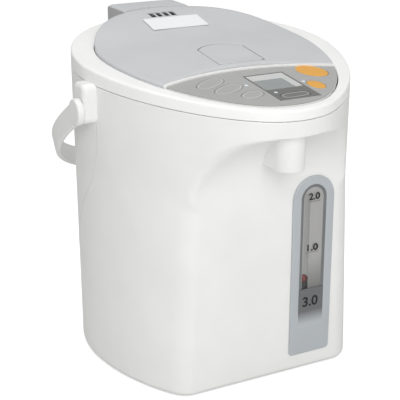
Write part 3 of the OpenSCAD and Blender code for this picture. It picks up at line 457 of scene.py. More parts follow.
# %% Metals, rubber, felt and clear plastic
def metal(name, colour, rough=0.3, line_mm=0.4):
    """Metal with fine lines from turning or brushing, which run level round the piece."""
    mat, nt, shader = new_finish(name)
    shader.inputs["Metallic"].default_value = 1.0
    squeeze = add_node(nt, "Mapping", Scale=(1, 1, 30))
    link(nt, add_node(nt, "TexCoord"), squeeze, "Vector", "Object")
    lines = add_node(nt, "TexNoise", Scale=0.05 / (line_mm * MM))
    link(nt, squeeze, lines, "Vector")
    base = np.array(linear(*colour))
    link(nt, tint(nt, lines, base * 0.92, np.minimum(base * 1.05, 1)), shader, "Base Color")
    link(nt, spread(nt, lines, rough - 0.08, rough + 0.08), shader, "Roughness")
    bump(nt, shader, lines, 0.01, 0.3)
    return mat


def clear(name, colour, rough=0.05, alpha=0.16):
    mat, nt, shader = new_finish(name)
    haze = noise(nt, 12, 2)
    base = np.array(linear(*colour))
    link(nt, tint(nt, haze, base * 0.97, base), shader, "Base Color")
    link(nt, spread(nt, haze, rough, rough + 0.05), shader, "Roughness")
    shader.inputs["Alpha"].default_value = alpha
    return mat


steel = metal("brushed_vessel_steel", (205, 205, 208))
pin_steel = metal("turned_pin_steel", (190, 190, 194), rough=0.25)
brass = metal("contact_brass", (214, 180, 104), rough=0.22)
heater_alloy = metal("heater_alloy", (176, 172, 166), rough=0.42)
rubber = plastic("grey_rubber", (160, 160, 158), rough=0.75, grain_mm=0.8, grain=0.03)
dark_rubber = plastic("dark_foot_rubber", (56, 56, 56), rough=0.8, grain_mm=0.8, grain=0.03)
felt = plastic("insulating_felt", (196, 190, 172), rough=0.95, grain_mm=1.5, grain=0.3,
               vary=0.06)
clear_cover = clear("clear_cover", (235, 240, 240), alpha=0.03)
clear_tube = clear("clear_tube", (230, 236, 238), alpha=0.03)
print("Metals, rubbers and clear plastic made")

# %% [markdown]
# ## Dressing the solids
# Parts inside the pot and simple outer ones are already right as solids. They only need
# their finish, which goes into the first material slot of each. The solids that get a skin
# further down have a finish too.

# %% Finish of each solid
solid_finish = {
    white: "handle_brackets handle spout_cover hinge_mount mouth_collar panel_frame "
           "front_casing rear_casing top_ring",
    silver: "hinge_arm lid_top hinge_cover latch_lever lid_under",
    panel_grey: "panel_sheet left_button middle_button right_button",
    key_dark: "boil_button",
    orange: "dispense_button unlock_button",
    gauge_grey: "gauge_plate",
    back_white: "gauge_backing",
    pale: "bottom_cover nozzle inlet_housing impeller indicator_lamps",
    label_white: "lid_label",
    # The steam duct is black partly as painted shade, so that the vent slots above it read dark.
    black: "vessel_tray pump_housing pump_cover outlet_elbow display_module steam_duct "
           "latch_tray",
    red: "float_ball",
    green: "power_board control_board",
    steel: "vessel temperature_sensor",
    pin_steel: "handle_pins hinge_pin lever_pin pump_shaft bottom_screws latch_bolt "
               "pump_motor drive_magnet",
    brass: "inlet_pins",
    heater_alloy: "heater_band",
    rubber: "upper_sleeve lower_sleeve lid_gasket delivery_pipe",
    dark_rubber: "feet",
    felt: "vessel_sleeve",
    clear_cover: "gauge_window display_window",
    clear_tube: "gauge_tube",
}
for finish, names in solid_finish.items():
    for name in names.split():
        nodes[name].data.materials.clear()
        nodes[name].data.materials.append(finish)
print("Solids dressed:", len(" ".join(solid_finish.values()).split()), "of", len(nodes))

# %% [markdown]
# ## The casings
# On the real pot two white mouldings meet along a slanting joint: the front one carries the
# overhang, the flat face and the cove under the spout. A sheet of points is laid round the
# egg-shaped body, row above row. Wherever the cove lies deeper than the egg, the sheet is
# pushed back to it, and a soft maximum rounds the lip between the two.

# %% Where the cove lies
recess_w = 66.5  # half the width of the arch
cove_z, cove_l, cove_h = 160.0, 48.0, 50.0  # its foot, its reach to the front, its height
cove_power, arch_end = 4.2, 0.15  # how square the arch is and where it stops falling
steep = 60.0  # past its end the cove or the flat face runs away forward by this much
lip_thin, lip_crisp, lip_broad = 0.3, 5.0, 14.0  # low down, in the middle, at the sides
lip_x, lip_over_x, lip_z, lip_over_z = 15.0, 40.0, cove_z - 12.0, 50.0


def cove_y(x, z):
    """The cove's surface over a point of the front, as a y value."""
    fall = np.clip(1 - (np.abs(x) / recess_w) ** cove_power, arch_end, 1)
    rise = np.clip((z - cove_z) / (cove_h * fall ** (1 / cove_power)), 0, 3)
    arc = 1 - np.sqrt(1 - np.minimum(rise, 1) ** 2)
    return -(face_y + cove_l * arc + steep * np.maximum(rise - 1, 0))


# %% The body's surface, in shares of its height
full_power_u = 0.7  # from here up the plan has its upper form
flat_end_u, flat_fade_u = 0.66, 0.2  # the flat face ends here and fades over this share


def body_surface(angle, u, inward=0.0):
    """x, y, z of the casing at an angle and a share u of its height."""
    power = base_power + (top_power - base_power) * np.minimum(1, u / full_power_u)
    taper = body_draft * (1 - u) + inward
    flat = face_y + 0.3 + steep * smooth((u - flat_end_u) / flat_fade_u) - inward
    x, y = outline(angle, body_r - taper, beak_l - taper, power, flat)
    z = foot_h + u * (seam_at(y) - foot_h)
    broad = lip_crisp + (lip_broad - lip_crisp) * smooth((np.abs(x) - lip_x) / lip_over_x)
    lip = lip_thin + (broad - lip_thin) * smooth((z - lip_z) / lip_over_z)
    y = np.where(y < -60, soft_max(y, cove_y(x, z) + inward, lip), y)
    return x, y, z


front_from = math.radians(112)  # from here to the tip the columns stand closer
half = np.concatenate([np.linspace(0, front_from, 90, endpoint=False),
                       np.linspace(front_from, math.pi, 110, endpoint=False)])
angles = np.concatenate([half, [math.pi], (2 * math.pi - half[1:])[::-1]])
base_r, base_low, tall = 5.0, 0.6, seam_z - foot_h
grid = []
for t in np.linspace(0, math.pi / 2, 9):
    up = base_low - foot_h + base_r * (1 - math.cos(t))
    share = np.full(len(angles), up / tall)
    grid.append(np.stack(body_surface(angles, share, base_r * (1 - math.sin(t))), 1))
for u in np.linspace(up / tall, 1 - 0.4 / tall, 190)[1:]:
    grid.append(np.stack(body_surface(angles, np.full(len(angles), u)), 1))
grid.append(np.stack(body_surface(angles, np.full(len(angles), 1.0), 0.35), 1))
body_points = np.concatenate(grid)
body_rows, body_cols = len(grid), len(angles)
print("Casing grid:", body_rows, "rows of", body_cols, "points")

# %% [markdown]
# Underneath, a flat cover closes the body. It has round holes for the five feet and for the
# four screws that hold it.

# %% Bottom cover
base_x, base_y, _ = body_surface(angles, np.full(len(angles), (base_low - foot_h) / tall),
                                 base_r + 0.3)
base_loop = np.stack([base_x, base_y], 1)[::-4]
fixing_r, foot_hole, screw_hole = 88.0, 18.2, 7.2


def on_circle(*degrees):
    turns = [math.radians(a) for a in degrees]
    return [(fixing_r * math.cos(t), fixing_r * math.sin(t)) for t in turns]


feet_at = on_circle(33, 147) + [(61.0, -72.0), (-61.0, -72.0), (0.0, 0.0)]
holes = [oval(x, y, foot_hole, foot_hole) for x, y in feet_at]
holes += [oval(x, y, screw_hole, screw_hole, count=32) for x, y in on_circle(45, 135, 208, 347)]
points, faces = sheet(base_loop, holes, lambda x, y: np.full_like(x, -base_low), 12.0,
                      edge=0.3, depth=3.0, hole_edge=0.3, hole_depth=1.5)
points[:, 2] *= -1
add_piece("base_plate", (points, faces), "pot", pale, ["bottom_cover"])
print("Bottom cover:", len(faces), "faces")

# %% [markdown]
# The sheet is then cut along the joint. The level gauge's window is cut out of the front and
# the hole for the power socket out of the back. Each cut edge is folded inward, and the rear
# edge stands a little back, so the joint reads as a fine dark line.

# %% Part the casings
joint_line = [(96, -10), (35, 94.5), (-12, 156.5), (-20, 184), (-22, 290)]  # y and z
window_hole = (38.0, 13.5, 45.0, 159.0)  # x, half width, low and high of the gauge's hole
socket_hole = (21.25, 17.05, 44.95)  # half width, low and high of the power socket's hole
fold_in, joint_gap = 1.8, 0.4


def joint_y(z):
    ys, zs = zip(*joint_line)
    return np.interp(z, zs, ys)


def cut_sheet(name, keep_front, stands_for):
    """The part of the body's sheet before or behind the joint, as a piece."""
    bm = bmesh.new()
    verts = [bm.verts.new(p) for p in body_points]
    bm.verts.ensure_lookup_table()
    for f in grid_faces(body_rows, body_cols, closed=True):
        bm.faces.new([verts[i] for i in f])
    for (y0, z0), (y1, z1) in zip(joint_line, joint_line[1:]):
        bmesh.ops.bisect_plane(bm, geom=bm.verts[:] + bm.edges[:] + bm.faces[:],
                               plane_co=(0, y0, z0), plane_no=(0, z1 - z0, y0 - y1))
    wide, low, high = socket_hole
    for at, normal in (((wide, 0, 0), (1, 0, 0)), ((-wide, 0, 0), (1, 0, 0)),
                       ((0, 0, low), (0, 0, 1)), ((0, 0, high), (0, 0, 1))):
        near = [f for f in bm.faces if f.verts[0].co.y > 90 and abs(f.verts[0].co.x) < 30
                and f.verts[0].co.z < 60]
        parts = set(near) | {e for f in near for e in f.edges} | {v for f in near for v in f.verts}
        bmesh.ops.bisect_plane(bm, geom=list(parts), plane_co=at, plane_no=normal)
    gone = []
    window_x, window_w, window_low, window_high = window_hole
    for f in bm.faces:
        c = f.calc_center_median()
        in_front = c.y < joint_y(c.z)
        hole = c.y < -90 and abs(c.x - window_x) < window_w and window_low < c.z < window_high
        hole |= c.y > 90 and abs(c.x) < wide and low < c.z < high
        if in_front != keep_front or hole:
            gone.append(f)
    bmesh.ops.delete(bm, geom=gone, context="FACES")
    bm.normal_update()
    rim = [e for e in bm.edges if len(e.link_faces) == 1]
    inward = {tuple(round(c, 4) for c in v.co): v.normal.copy() for e in rim for v in e.verts}
    made = bmesh.ops.extrude_edge_only(bm, edges=rim)
    for v in [g for g in made["geom"] if isinstance(g, bmesh.types.BMVert)]:
        v.co += inward[tuple(round(c, 4) for c in v.co)] * fold_in
    bm.verts.index_update()
    shift = 0.0 if keep_front else joint_gap
    points = [(v.co.x, v.co.y + (shift if abs(v.co.y - joint_y(v.co.z)) < 0.5 else 0), v.co.z)
              for v in bm.verts]
    faces = [[v.index for v in f.verts] for f in bm.faces]
    bm.free()
    print(name, "has", len(faces), "faces")
    add_piece(name, (points, faces), "pot", white, stands_for, sharp=50)


cut_sheet("front_casing_skin", True, ["front_casing"])
cut_sheet("rear_casing_skin", False, ["rear_casing"])

# %% [markdown]
# ## The shoulder ring
# A thick white ring slopes down to the front between the casings and the lid. Its section is
# a rounded strip, and it changes width all the way round, so each point of the section is
# placed between the outer and the inner outline of the plan. At the back a notch leaves room
# for the hinge cover, which swings up with the lid.

# %% Shoulder ring
edge_r, inner_r, inner_wall = 2.0, 0.7, 7.0


def ring_section():
    """Points as (millimetres in from the outside, share of the way in, height share, drop)."""
    points = [(2.0, 0, 0, 0.3), (0.35, 0, 0, 0.3), (0, 0, 0, 0.65)]
    for t in np.linspace(0, math.pi / 2, 9):
        points.append((edge_r * (1 - math.cos(t)), 0, 1, -edge_r * (1 - math.sin(t))))
    points += [(edge_r, 0.35, 1, 0), (edge_r, 0.7, 1, 0)]
    for t in np.linspace(0, math.pi / 2, 5):
        points.append((-inner_r * (1 - math.sin(t)), 1, 1, -inner_r * (1 - math.cos(t))))
    points.append((0, 1, 1, -inner_wall))
    return points


cover_x, cover_w, notch_z = -4.0, 31.0, 250.4  # the hinge cover and the notch under it
notch = (cover_x - cover_w - 1, cover_x + cover_w + 1)
walls = [math.acos((x + d) / body_r) for x in notch for d in (-0.03, 0.03)]
ring_angles = np.union1d(np.linspace(0, 2 * math.pi, 300, endpoint=False), walls)
# Behind, the lines across the ring run parallel to the notch's sides.
turn = (ring_angles + math.pi / 2) % (2 * math.pi) - math.pi
beside = np.arcsin(np.clip(body_r / (lid_r + slack) * np.sin(turn), -1, 1)) - turn
inner_angles = ring_angles + beside * smooth((60 - np.abs(np.degrees(turn))) / 35)
out_x, out_y = outline(ring_angles, body_r, beak_l, top_power)
in_x, in_y = outline(inner_angles, lid_r + slack, panel_l + slack, lid_power)
wide = np.hypot(out_x - in_x, out_y - in_y)
ring_points = []
for inward, share, height, drop in ring_section():
    t = np.where(share == 1, 1 + inward / wide, inward / wide + share * (1 - edge_r / wide))
    x, y = out_x + (in_x - out_x) * t, out_y + (in_y - out_y) * t
    z = seam_at(out_y) + height * (top_at(y) - seam_at(out_y)) + drop
    under_cover = (x > notch[0]) & (x < notch[1]) & (y > 80)
    z = np.where(under_cover, np.minimum(z, notch_z), z)
    ring_points.append(np.stack([x, y, z], 1))
ring_faces = grid_faces(len(ring_points), len(ring_angles), closed=True)
add_piece("shoulder_ring", (np.concatenate(ring_points), ring_faces), "pot", white_ring,
          ["top_ring"])
print("Ring section has", len(ring_points), "points")

# %% [markdown]
# ## The lid's shell
# The lid is a silver moulding, hardly crowned in front and rising to the hinge behind. Its
# front edge follows the arc of the panel. It has four vent slots and an opening with a round
# back for the latch lever, and all its edges are slightly rounded, as moulded edges are.
# Behind, where the lid rises, its skirt is lengthened so that it still reaches into the ring.

# %% The lid's outline and its surface
lid_lift, lid_crown = 2.2, 3.0
rear_rise, rise_from, rise_over = 8.5, 10.0, 75.0


def lid_at(x, y):
    crown = lid_crown * np.maximum(0, 1 - (x * x + y * y) / lid_r ** 2)
    return top_at(y) + lid_lift + crown + rear_rise * smooth((y - rise_from) / rise_over)


arc_r, arc_y = part_r + slack, -227.43  # the arc in front, and where its middle lies


def lid_outline(inward):
    """The egg outline behind the arc, then the arc itself, counter-clockwise."""
    a = np.linspace(0, 2 * math.pi, 3000, endpoint=False)
    x, y = outline(-a, lid_r - slack - inward, panel_l - slack - inward, lid_power)
    behind = np.hypot(x, y - arc_y) > arc_r + inward
    egg = np.stack([x, y], 1)[behind]
    start = np.argmax(np.linalg.norm(egg - np.roll(egg, 1, 0), axis=1))
    egg = np.roll(egg, -start, 0)
    first, last = egg[0], egg[-1]
    t = np.linspace(math.atan2(last[1] - arc_y, last[0]), math.atan2(first[1] - arc_y, first[0]),
                    90)[1:-1]
    arc = np.stack([(arc_r + inward) * np.cos(t), arc_y + (arc_r + inward) * np.sin(t)], 1)
    return np.concatenate([egg[::12], egg[-1:], arc])


lever_x = 4.5


def lever_loop(grow, soft=2.0):
    """Straight front with small round corners and an arched back, counter-clockwise."""
    r, w, front, middle = 27.0 + grow, 19.5 + grow, -47.0 - grow, -31.0
    points = corner(-w + soft, front + soft, soft, 180) + corner(w - soft, front + soft, soft, 270)
    limit = math.acos(w / r)
    for t in np.linspace(limit, math.pi - limit, 50):
        points.append((r * math.cos(t), middle + r * math.sin(t)))
    return dense(np.array(points) + (lever_x, 0), 2.0)


lid_loop = counter_clockwise(lid_outline(0))
vent_x, vent_step, vent_w, vent_low, vent_high = -6.5, 6.2, 2.3, 63.3, 74.3
vents = []
for k in (-1.5, -0.5, 0.5, 1.5):
    x = vent_x + k * vent_step
    vents.append(box_loop(x - vent_w, x + vent_w, vent_low, vent_high, 1.2))
skirt_h, skirt_into = 8.5, 5.0
points, faces = sheet(lid_loop, [lever_loop(0.9, 0.8)] + vents, lid_at, 4.0, edge=1.2,
                      depth=skirt_h, hole_edge=0.35, hole_depth=1.2)
skirt = (points[:, 2] < lid_at(points[:, 0], points[:, 1]) - skirt_h + 0.5) & (points[:, 1] > 0)
points[skirt, 2] = np.minimum(points[skirt, 2], top_at(points[skirt, 1]) - skirt_into)
lid_skin = add_piece("lid_skin", (points, faces), "lid", silver, ["lid_top"],
                     sharp=40)
print("Lid shell:", len(lid_skin.data.polygons), "faces")

# %% [markdown]
# ## The latch lever
# A lever with an arched back lies flush in the lid. A shallow hollow along its straight
# front edge takes the fingertips, which pull it up to free the lid.

# %% Latch lever
lever_mid = -25.0
lever_top = float(lid_at(0.0, lever_mid)) - 1.2
lever_slope = math.atan2(float(lid_at(0.0, lever_mid + 17) - lid_at(0.0, lever_mid - 19)), 36)


def lever_height(x, y):
    along = smooth((-24 - y) / 12) * smooth((y + 46.5) / 6)
    across = smooth((17 - np.abs(x - lever_x)) / 8)
    return 0.95 - 0.55 * along * across


points, faces = sheet(lever_loop(0), [], lever_height, 2.0, edge=0.5, depth=2.1)
c, s = math.cos(lever_slope), math.sin(lever_slope)
along = points[:, 1] - lever_mid
points = np.stack([points[:, 0], lever_mid + along * c - points[:, 2] * s,
                   lever_top + along * s + points[:, 2] * c], 1)
add_piece("lever_skin", (points, faces), "lever", silver, ["latch_lever"])
print("Latch lever:", len(faces), "faces")

# %% [markdown]
# ## The hinge cover
# A silver bridge behind the lid hides the hinge. Its back edge is well rounded, and its two ends,
# the faces that look to the sides, are coloured a darker grey.

# %% Hinge cover
cover_back, cover_low, cover_top = 119.5, 252.6, 266.0
cover_chamfer, back_r, end_r, end_drop = 2.0, 5.0, 4.5, 2.0


def cover_outline():
    """Along the lid's back edge, and then straight round the ends and the back."""
    r = lid_r + 0.15
    left, right = cover_x - cover_w, cover_x + cover_w
    t = np.linspace(math.asin(left / r), math.asin(right / r), 30)
    front = np.stack([r * np.sin(t), r * np.cos(t)], 1)
    cut = cover_chamfer
    back = [(right, cover_back - cut), (right - cut, cover_back),
            (left + cut, cover_back), (left, cover_back - cut)]
    return np.concatenate([front, back])


def cover_height(x, y):
    over = np.clip((y - cover_back + back_r) / back_r, 0, 0.999)
    ends = np.clip((np.abs(x - cover_x) - cover_w + end_r) / end_r, 0, 0.999)
    fall = back_r * (1 - np.sqrt(1 - over ** 2)) + end_drop * (1 - np.sqrt(1 - ends ** 2))
    return cover_top - fall


cover_loop = counter_clockwise(dense(cover_outline(), 1.5))
wall = 1.0
points, faces = sheet(cover_loop, [], cover_height, 1.5, edge=0.25, depth=wall)
rim = points[:, 2] < cover_height(points[:, 0], points[:, 1]) - 0.9 * wall
points[rim, 2] = cover_low
cover_skin = add_piece("hinge_cover_skin", (points, faces), "lid", silver, ["hinge_cover"],
                       sharp=40)
cover_skin.data.materials.append(cover_end)
for p in cover_skin.data.polygons:
    if abs(p.normal.x) > 0.9 and abs(p.center.x - cover_x * MM) > (cover_w - 1) * MM:
        p.material_index = 1
print("Hinge cover:", len(faces), "faces")

# %% [markdown]
# ## The keys on the panel
# The keys are oval, printed caps that stand only a little over the grey sheet. Each is a
# plate with a rounded rim and a faint crown, and it rides on the body that is pressed down.

# %% Keys
key_low, key_high = -2.6, 1.15


def panel_at(x, from_tip):
    return x, from_tip - panel_l


# Place (x and distance from the panel's tip), length, width, turn, power, finish and solid.
keys = {
    "dispense": (49, 58.9, 27.4, 21, 111, 2, orange, "dispense_button"),
    "unlock": (35.2, 31, 17.5, 12, 94, 2, orange, "unlock_button"),
    "left": (-38.3, 58.5, 30, 14, 32, 2.3, panel_grey, "left_button"),
    "middle": (-31.3, 43.5, 28.5, 14, 27, 2.3, panel_grey, "middle_button"),
    "right": (-20.8, 27.6, 20.5, 13.2, 28, 2.3, panel_grey, "right_button"),
    "boil": (8.5, 17.2, 24, 10.5, 3, 3, key_dark, "boil_button"),
}


def key_loop(name, grow):
    """Outline of a key, longer and wider by grow."""
    x, d, length, width, turn, square = keys[name][:6]
    return oval(*panel_at(x, d), length + grow, width + grow, turn, square)


for name, (*_, finish, node) in keys.items():
    shape = plate(key_loop(name, -0.1), key_low, key_high, 0.45, crown=0.05)
    add_piece(name + "_cap", on_panel(shape), name + "_key", finish, [node])
print("Keys:", len(keys))

# %% [markdown]
# Each grey or dark key carries a thin pale oval in print, a little inside its edge. It is
# raised by less than a hair, which is enough to show it without a flicker.

# %% Printed lines on the keys
def ring_line(loop, width, height, lift=0.03, sink=0.05):
    """Closed line of ink along a loop, which starts just under the surface."""
    inner = inset(loop, width)
    rows = ((loop, -sink), (loop, lift), (inner, lift), (inner, -sink))
    points = [at_height(edge, height + d) for edge, d in rows]
    return np.concatenate(points), grid_faces(4, len(loop), closed=True)


for name in ("left", "middle", "right", "boil"):
    line = ring_line(key_loop(name, -2.6), 0.45, 1.17)
    add_piece(name + "_cap_line", on_panel(line), name + "_key", line_pale)
print("Lines printed")

# %% [markdown]
# ## The display
# A dark mask frames an opening, from which a pale slanting frame leads down to the liquid
# crystal, a flat grey plate. In front the mask has holes for one lamp and for the key that
# starts boiling. The caps of all three lamps are made here too.

# %% Display
display_x, display_y, display_w, display_l = 9.0, -97.0, 17.0, 27.25  # middle, half sizes
x0, x1 = display_x - display_w, display_x + display_w
y0, y1 = display_y - display_l, display_y + display_l
dark_end = -103.0  # where the dark field in front ends
lcd = (-3.5, 21.5, -98.2, -77.2)
outer = box_loop(x0 + 0.05, x1 - 0.05, y0 + 0.05, y1 - 0.05, 3.2)
clear_area = box_loop(x0 + 1.2, x1 - 1.2, dark_end + 0.6, y1 - 1.3, 1.0)


def band(outer_loop, inner_loop, z_out, z_in, count=160):
    """Strip between two closed loops, matched by the share of their length."""
    def spaced(loop):
        edge = np.linalg.norm(np.roll(loop, -1, 0) - loop, axis=1)
        run = np.concatenate([[0], np.cumsum(edge)])
        closed = np.vstack([loop, loop[:1]])
        t = np.linspace(0, run[-1], count, endpoint=False)
        return np.stack([np.interp(t, run, closed[:, k]) for k in (0, 1)], 1)
    rims = [at_height(spaced(outer_loop), z_out), at_height(spaced(inner_loop), z_in)]
    return np.concatenate(rims), grid_faces(2, count, closed=True)


lamps_at = [panel_at(-15, 46.9), panel_at(30, 40.6), panel_at(-2.3, 26.4)]
lamp_hole = oval(*lamps_at[-1], 3.2, 3.2, count=24)
holes = [clear_area, key_loop("boil", 0.5), lamp_hole]
cover = sheet(outer, holes, lambda x, y: np.full_like(x, 1.1), 4.0, edge=0.3, depth=2.3,
              hole_edge=0.1, hole_depth=1.8)
add_piece("display_mask", on_panel(cover), "pot", display_dark, ["display_window"])
lcd_loop = box_loop(*lcd, 0.6)
add_piece("display_bevel", on_panel(band(clear_area, lcd_loop, 0.9, -1.0)), "pot",
          bevel_pale)
glass = plate(inset(lcd_loop, -0.2), -1.35, -0.95, 0.05)
add_piece("display_crystal", on_panel(glass), "pot", crystal)
lamp_caps = [plate(oval(*p, 3.0, 3.0, count=32), -1.0, 1.05, 0.3, crown=0.15)
             for p in lamps_at]
add_piece("lamp_caps", on_panel(join_shapes(*lamp_caps)), "pot", lamp_white,
          ["indicator_lamps"])
print("Display made")

# %% [markdown]
# ## The handle and its brackets
# The handle is one bent strap, flat on the outside and rounded along its edges, which ends
# in two round bosses. A section with rounded corners is swept along the bow, and the bosses
# are plates turned on their sides.

# %% Handle
bail_w, strap_t, strap_w, bail_l, bow_start = 121.3, 5.0, 17.6, 185.0, 20.0
pivot_y, pivot_z, boss_r = 15.0, 212.5, 10.3
bail_drop = math.radians(-30.8)


def handle_place(points):
    """From the handle's own axes (x, out along the bow, across the strap) to the pot's."""
    c, s = math.cos(bail_drop), math.sin(bail_drop)
    return np.stack([points[:, 0], points[:, 1] * c - points[:, 2] * s - pivot_y,
                     points[:, 1] * s + points[:, 2] * c + pivot_z], 1)


t = np.linspace(0, math.pi, 97)
path = [(bail_w, y) for y in np.linspace(0, bow_start, 6)[:-1]]
path += list(zip(bail_w * np.cos(t), bow_start + (bail_l - bow_start) * np.sin(t)))
path += [(-bail_w, y) for y in np.linspace(bow_start, 0, 6)[1:]]
path = np.array(path)
forward = np.gradient(path, axis=0)
forward /= np.linalg.norm(forward, axis=1, keepdims=True)
outside = np.stack([forward[:, 1], -forward[:, 0]], 1)
half_t, half_w, soft = strap_t / 2, strap_w / 2, 2.0
section = box_corners(-half_t, half_t, -half_w, half_w, soft, 5)
rows = []
for p, n in zip(path - outside * (half_t + 0.15), outside):
    rows += [(p[0] + n[0] * u, p[1] + n[1] * u, v) for u, v in section]
strap_faces = grid_faces(len(path), len(section), closed=True)
strap_faces += [list(range(len(section)))[::-1],
                [(len(path) - 1) * len(section) + i for i in range(len(section))]]
strap = (np.array(rows), strap_faces)


def sideways(shape, x, side):
    """Turns a plate so that its top faces outward, to the right or to the left."""
    points, faces = shape
    return np.column_stack([side * (x + points[:, 2]), side * points[:, 0], points[:, 1]]), faces


boss = plate(oval(0, 0, 2 * boss_r, 2 * boss_r), 0, strap_t, 1.5, under=0.5)
bosses = [sideways(boss, bail_w - strap_t, s) for s in (1, -1)]
points, faces = join_shapes(strap, *bosses)
add_piece("handle_skin", (handle_place(points), faces), "handle", white, ["handle"],
          sharp=50)
print("Handle:", len(faces), "faces")

# %% Brackets
bracket_back, bracket_front, bracket_r, bracket_in = -2.0, -22.0, 5.0, 104.5
lower = plate(box_loop(bracket_front, bracket_back, 203.2, 226.5, bracket_r, 8), bracket_in,
              115.9, 2.2)
upper = plate(box_loop(bracket_front, bracket_back, 218.0, 233.5, bracket_r, 8), bracket_in,
              116.0, 3.4)
pieces = []
for side in (1, -1):
    for points, faces in (lower, upper):
        pieces.append((np.column_stack([side * points[:, 2], points[:, 0], points[:, 1]]),
                       faces))
add_piece("bracket_skins", join_shapes(*pieces), "pot", white, ["handle_brackets"])
print("Brackets made")

# %% [markdown]
# ## The spout cover
# A short white hood, round in front, hangs under the overhang over the nozzle. It is closed
# below but for the nozzle's hole, and its lower edge is softened.

# %% Spout cover
spout_y, spout_r, spout_low, spout_high = 124.0, 11.5, 181.0, 212.0
spout_back, nozzle_hole = 95.6, 15.0
a = np.linspace(math.pi, 2 * math.pi, 33)
hood = [(spout_r * math.cos(t), -spout_y + spout_r * math.sin(t)) for t in a]
hood = dense(np.array(hood + [(spout_r, -spout_back), (-spout_r, -spout_back)]), 2.0)
hole = oval(0, -spout_y, nozzle_hole, nozzle_hole, count=40)
points, faces = sheet(hood, [hole], lambda x, y: np.full_like(x, -spout_low), 3.0, edge=1.6,
                      depth=spout_high - spout_low - 0.1, hole_edge=0.5, hole_depth=20.0)
points[:, 2] *= -1
add_piece("spout_hood", (points, faces), "pot", white, ["spout_cover"],
          sharp=50)
print("Spout hood:", len(faces), "faces")

# %% [markdown]
# ## The level gauge
# A grey plate with a round top frames the sight window. A darker, slanting rim leads down to
# the clear cover. Behind it the tube with the red float shows the level against a pale back.
# The marks are printed on the clear cover, so their figures and dots are thin and flat.

# %% Gauge plate and rim
gauge_x, plate_front = window_hole[0], 101.95
plate_loop = arch_loop(gauge_x, 18.5, 15.0, 164.0, 3.0)
window_loop = arch_loop(gauge_x, 11.3, 47.0, 157.0, 2.0)


def standing(shape):
    """Stands a flat shape in the gauge plate's front."""
    return upright(shape, plate_front)


face = sheet(plate_loop, [window_loop], lambda x, y: np.zeros_like(x), 5.0, edge=0.8,
             depth=1.1, hole_edge=0.3, hole_depth=1.0)
add_piece("gauge_frame", standing(face), "pot", gauge_grey, ["gauge_plate"])
clear_loop = arch_loop(gauge_x, 8.9, 49.0, 154.6, 1.0)
add_piece("gauge_rim", standing(band(window_loop, clear_loop, -0.35, -0.7)), "pot", rim_grey)
print("Gauge plate made")

# %% Grey sheet under the clear cover, painted shade that is darker towards the bottom, with a clear stripe in front of the tube
stripe = box_loop(gauge_x - 8.3, gauge_x - 3.0, 50.0, 150.0, 2.0)
pale_loop = arch_loop(gauge_x, 9.6, 48.0, 155.2, 1.0)
shade_sheet = sheet(pale_loop, [stripe], lambda x, y: np.full_like(x, -0.8), 5.0, edge=0.05,
                    depth=0.2, hole_edge=0.05, hole_depth=0.2)
add_piece("gauge_painted_shade", standing(shade_sheet), "pot", window_painted_shade)
print("Painted shade under the clear cover:", len(shade_sheet[1]), "faces")

# %% Low field of the gauge, painted shade: dark, fading to the plate's colour at its foot
field = plate(box_loop(gauge_x - 11.2, gauge_x + 11.2, 38.0, 71.0, 0.6), -0.6, 0.03, 0.03)
add_piece("gauge_low_field", standing(field), "pot", low_field_painted_shade)
print("Low field:", len(field[1]), "faces")


# %% Marks
def figures(text, x, z, height, wide):
    """Flat mesh of generic figures, standing in the front, height and width in millimetres."""
    curve = bpy.data.curves.new("figures", "FONT")
    curve.body = text
    curve.align_x, curve.align_y = "CENTER", "CENTER"
    curve.extrude = 0.002
    curve.offset = 0.025
    curve.resolution_u = 6
    obj = new_object("figures", curve)
    bpy.context.view_layer.update()
    mesh = obj.evaluated_get(bpy.context.evaluated_depsgraph_get()).to_mesh()
    p = np.array([tuple(v.co) for v in mesh.vertices])
    faces = [list(f.vertices) for f in mesh.polygons]
    low, high = p.min(0), p.max(0)
    p[:, :2] = (p[:, :2] - (low + high)[:2] / 2) / (high - low)[:2] * (wide, height)
    bpy.data.objects.remove(obj)
    bpy.data.curves.remove(curve)
    return np.column_stack([x + p[:, 0], np.full(len(p), -plate_front - 0.12) + p[:, 2] * 10,
                            z + p[:, 1]]), faces


def dots(x, z, count, gap):
    shapes = [plate(oval(x + (k - (count - 1) / 2) * gap, z, 0.7, 0.7, count=12), 0.0, 0.14,
                    0.02) for k in range(count)]
    return standing(join_shapes(*shapes))


marks = [figures("2.0", gauge_x, 147.5, 5.6, 10.0), dots(gauge_x, 143.4, 6, 1.9),
         figures("1.0", gauge_x, 105.5, 5.6, 10.0), dots(gauge_x - 0.5, 101.6, 6, 1.9),
         figures("3.0", gauge_x - 0.5, 60.0, 8.5, 14.0)]
add_piece("gauge_marks", join_shapes(*marks), "pot", ink)
print("Marks:", len(marks))

# %% [markdown]
# ## Floor, light and camera
# A pale floor and a pale sky make a plain studio. Three large, soft lamps light the pot: one
# from the front and a little left, one from straight above, and a faint one from the right
# that opens the shaded side.

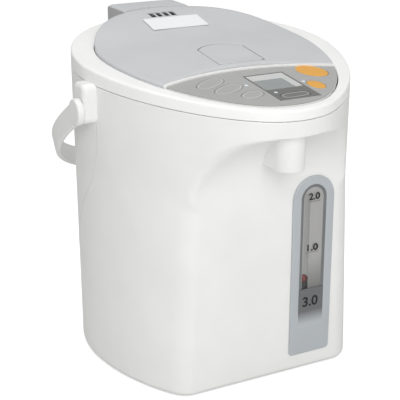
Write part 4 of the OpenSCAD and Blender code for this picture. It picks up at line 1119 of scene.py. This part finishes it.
# %% Floor
floor_mesh = bpy.data.meshes.new("floor")
far = 6
floor_mesh.from_pydata([(-far, -far, 0), (far, -far, 0), (far, far, 0), (-far, far, 0)], [],
                       [(0, 1, 2, 3)])
floor = new_object("floor", floor_mesh)
floor_mat, nt, shader = new_finish("floor_paint")
floor_glow = 0.44  # seen by the camera only, so it lights nothing
seen_by = add_node(nt, "LightPath")
paint = add_node(nt, "ValToRGB")
unseen, in_view = paint.color_ramp.elements
unseen.color, in_view.color = (0.7, 0.7, 0.7, 1), (0.98, 0.98, 0.98, 1)
glow = add_node(nt, "Math")
glow.operation = "MULTIPLY"
glow.inputs[1].default_value = floor_glow
link(nt, seen_by, paint, "Fac", "Is Camera Ray")
link(nt, seen_by, glow, 0, "Is Camera Ray")
link(nt, paint, shader, "Base Color")
link(nt, paint, shader, "Emission Color")
link(nt, glow, shader, "Emission Strength")
shader.inputs["Roughness"].default_value = 0.9
floor_mesh.materials.append(floor_mat)
print("Floor laid")

# %% Sky
world = bpy.data.worlds.new("studio")
bpy.context.scene.world = world
world.use_nodes = True
nt = world.node_tree
sky = nt.nodes["Background"]
sky.inputs["Color"].default_value = (1, 1, 1, 1)
sky.inputs["Strength"].default_value = 0.45
seen = add_node(nt, "Background", Color=(1, 1, 1, 1), Strength=1.0)
rays = add_node(nt, "LightPath")
either = add_node(nt, "Math")
either.operation = "MAXIMUM"
pick = add_node(nt, "MixShader")
link(nt, rays, either, 0, "Is Camera Ray")
link(nt, rays, either, 1, "Is Transmission Ray")
link(nt, either, pick, "Fac")
link(nt, sky, pick, 1)
link(nt, seen, pick, 2)
link(nt, pick, nt.nodes["World Output"], "Surface")
print("Sky made")


# %% Lamps
def lamp(name, at, size, power, aim=(0, 0, 0.13)):
    """Square soft lamp at a place in metres, turned to the pot's middle."""
    light = bpy.data.lights.new(name, "AREA")
    light.shape = "SQUARE"
    light.size = size
    light.energy = power
    obj = new_object(name, light)
    obj.location = at
    obj.rotation_euler = (Vector(aim) - Vector(at)).to_track_quat("-Z", "Y").to_euler()


lamp("main_lamp", (-0.4, -1.3, 0.75), 1.0, 10.6)
lamp("side_lamp", (1.7, -0.3, 0.8), 1.2, 1)
lamp("top_lamp", (-0.2, 0.3, 2.0), 1.6, 15.5)
print("Lamps:", len(bpy.data.lights))

# %% Camera
camera = new_object("camera", bpy.data.cameras.new("camera"))
bpy.context.scene.camera = camera
image_px, focal_px = 400, 1101.83
camera_at = (-407.56, -760.29, 428.51)
look_down, look_right = 19.784, 27.793
camera.data.lens = focal_px / image_px * camera.data.sensor_width
camera.location = Vector(camera_at) * MM
camera.rotation_euler = (math.radians(90 - look_down), 0, math.radians(-look_right))
bpy.context.scene.view_settings.view_transform = "Standard"
print("Lens:", round(camera.data.lens, 2), "mm")
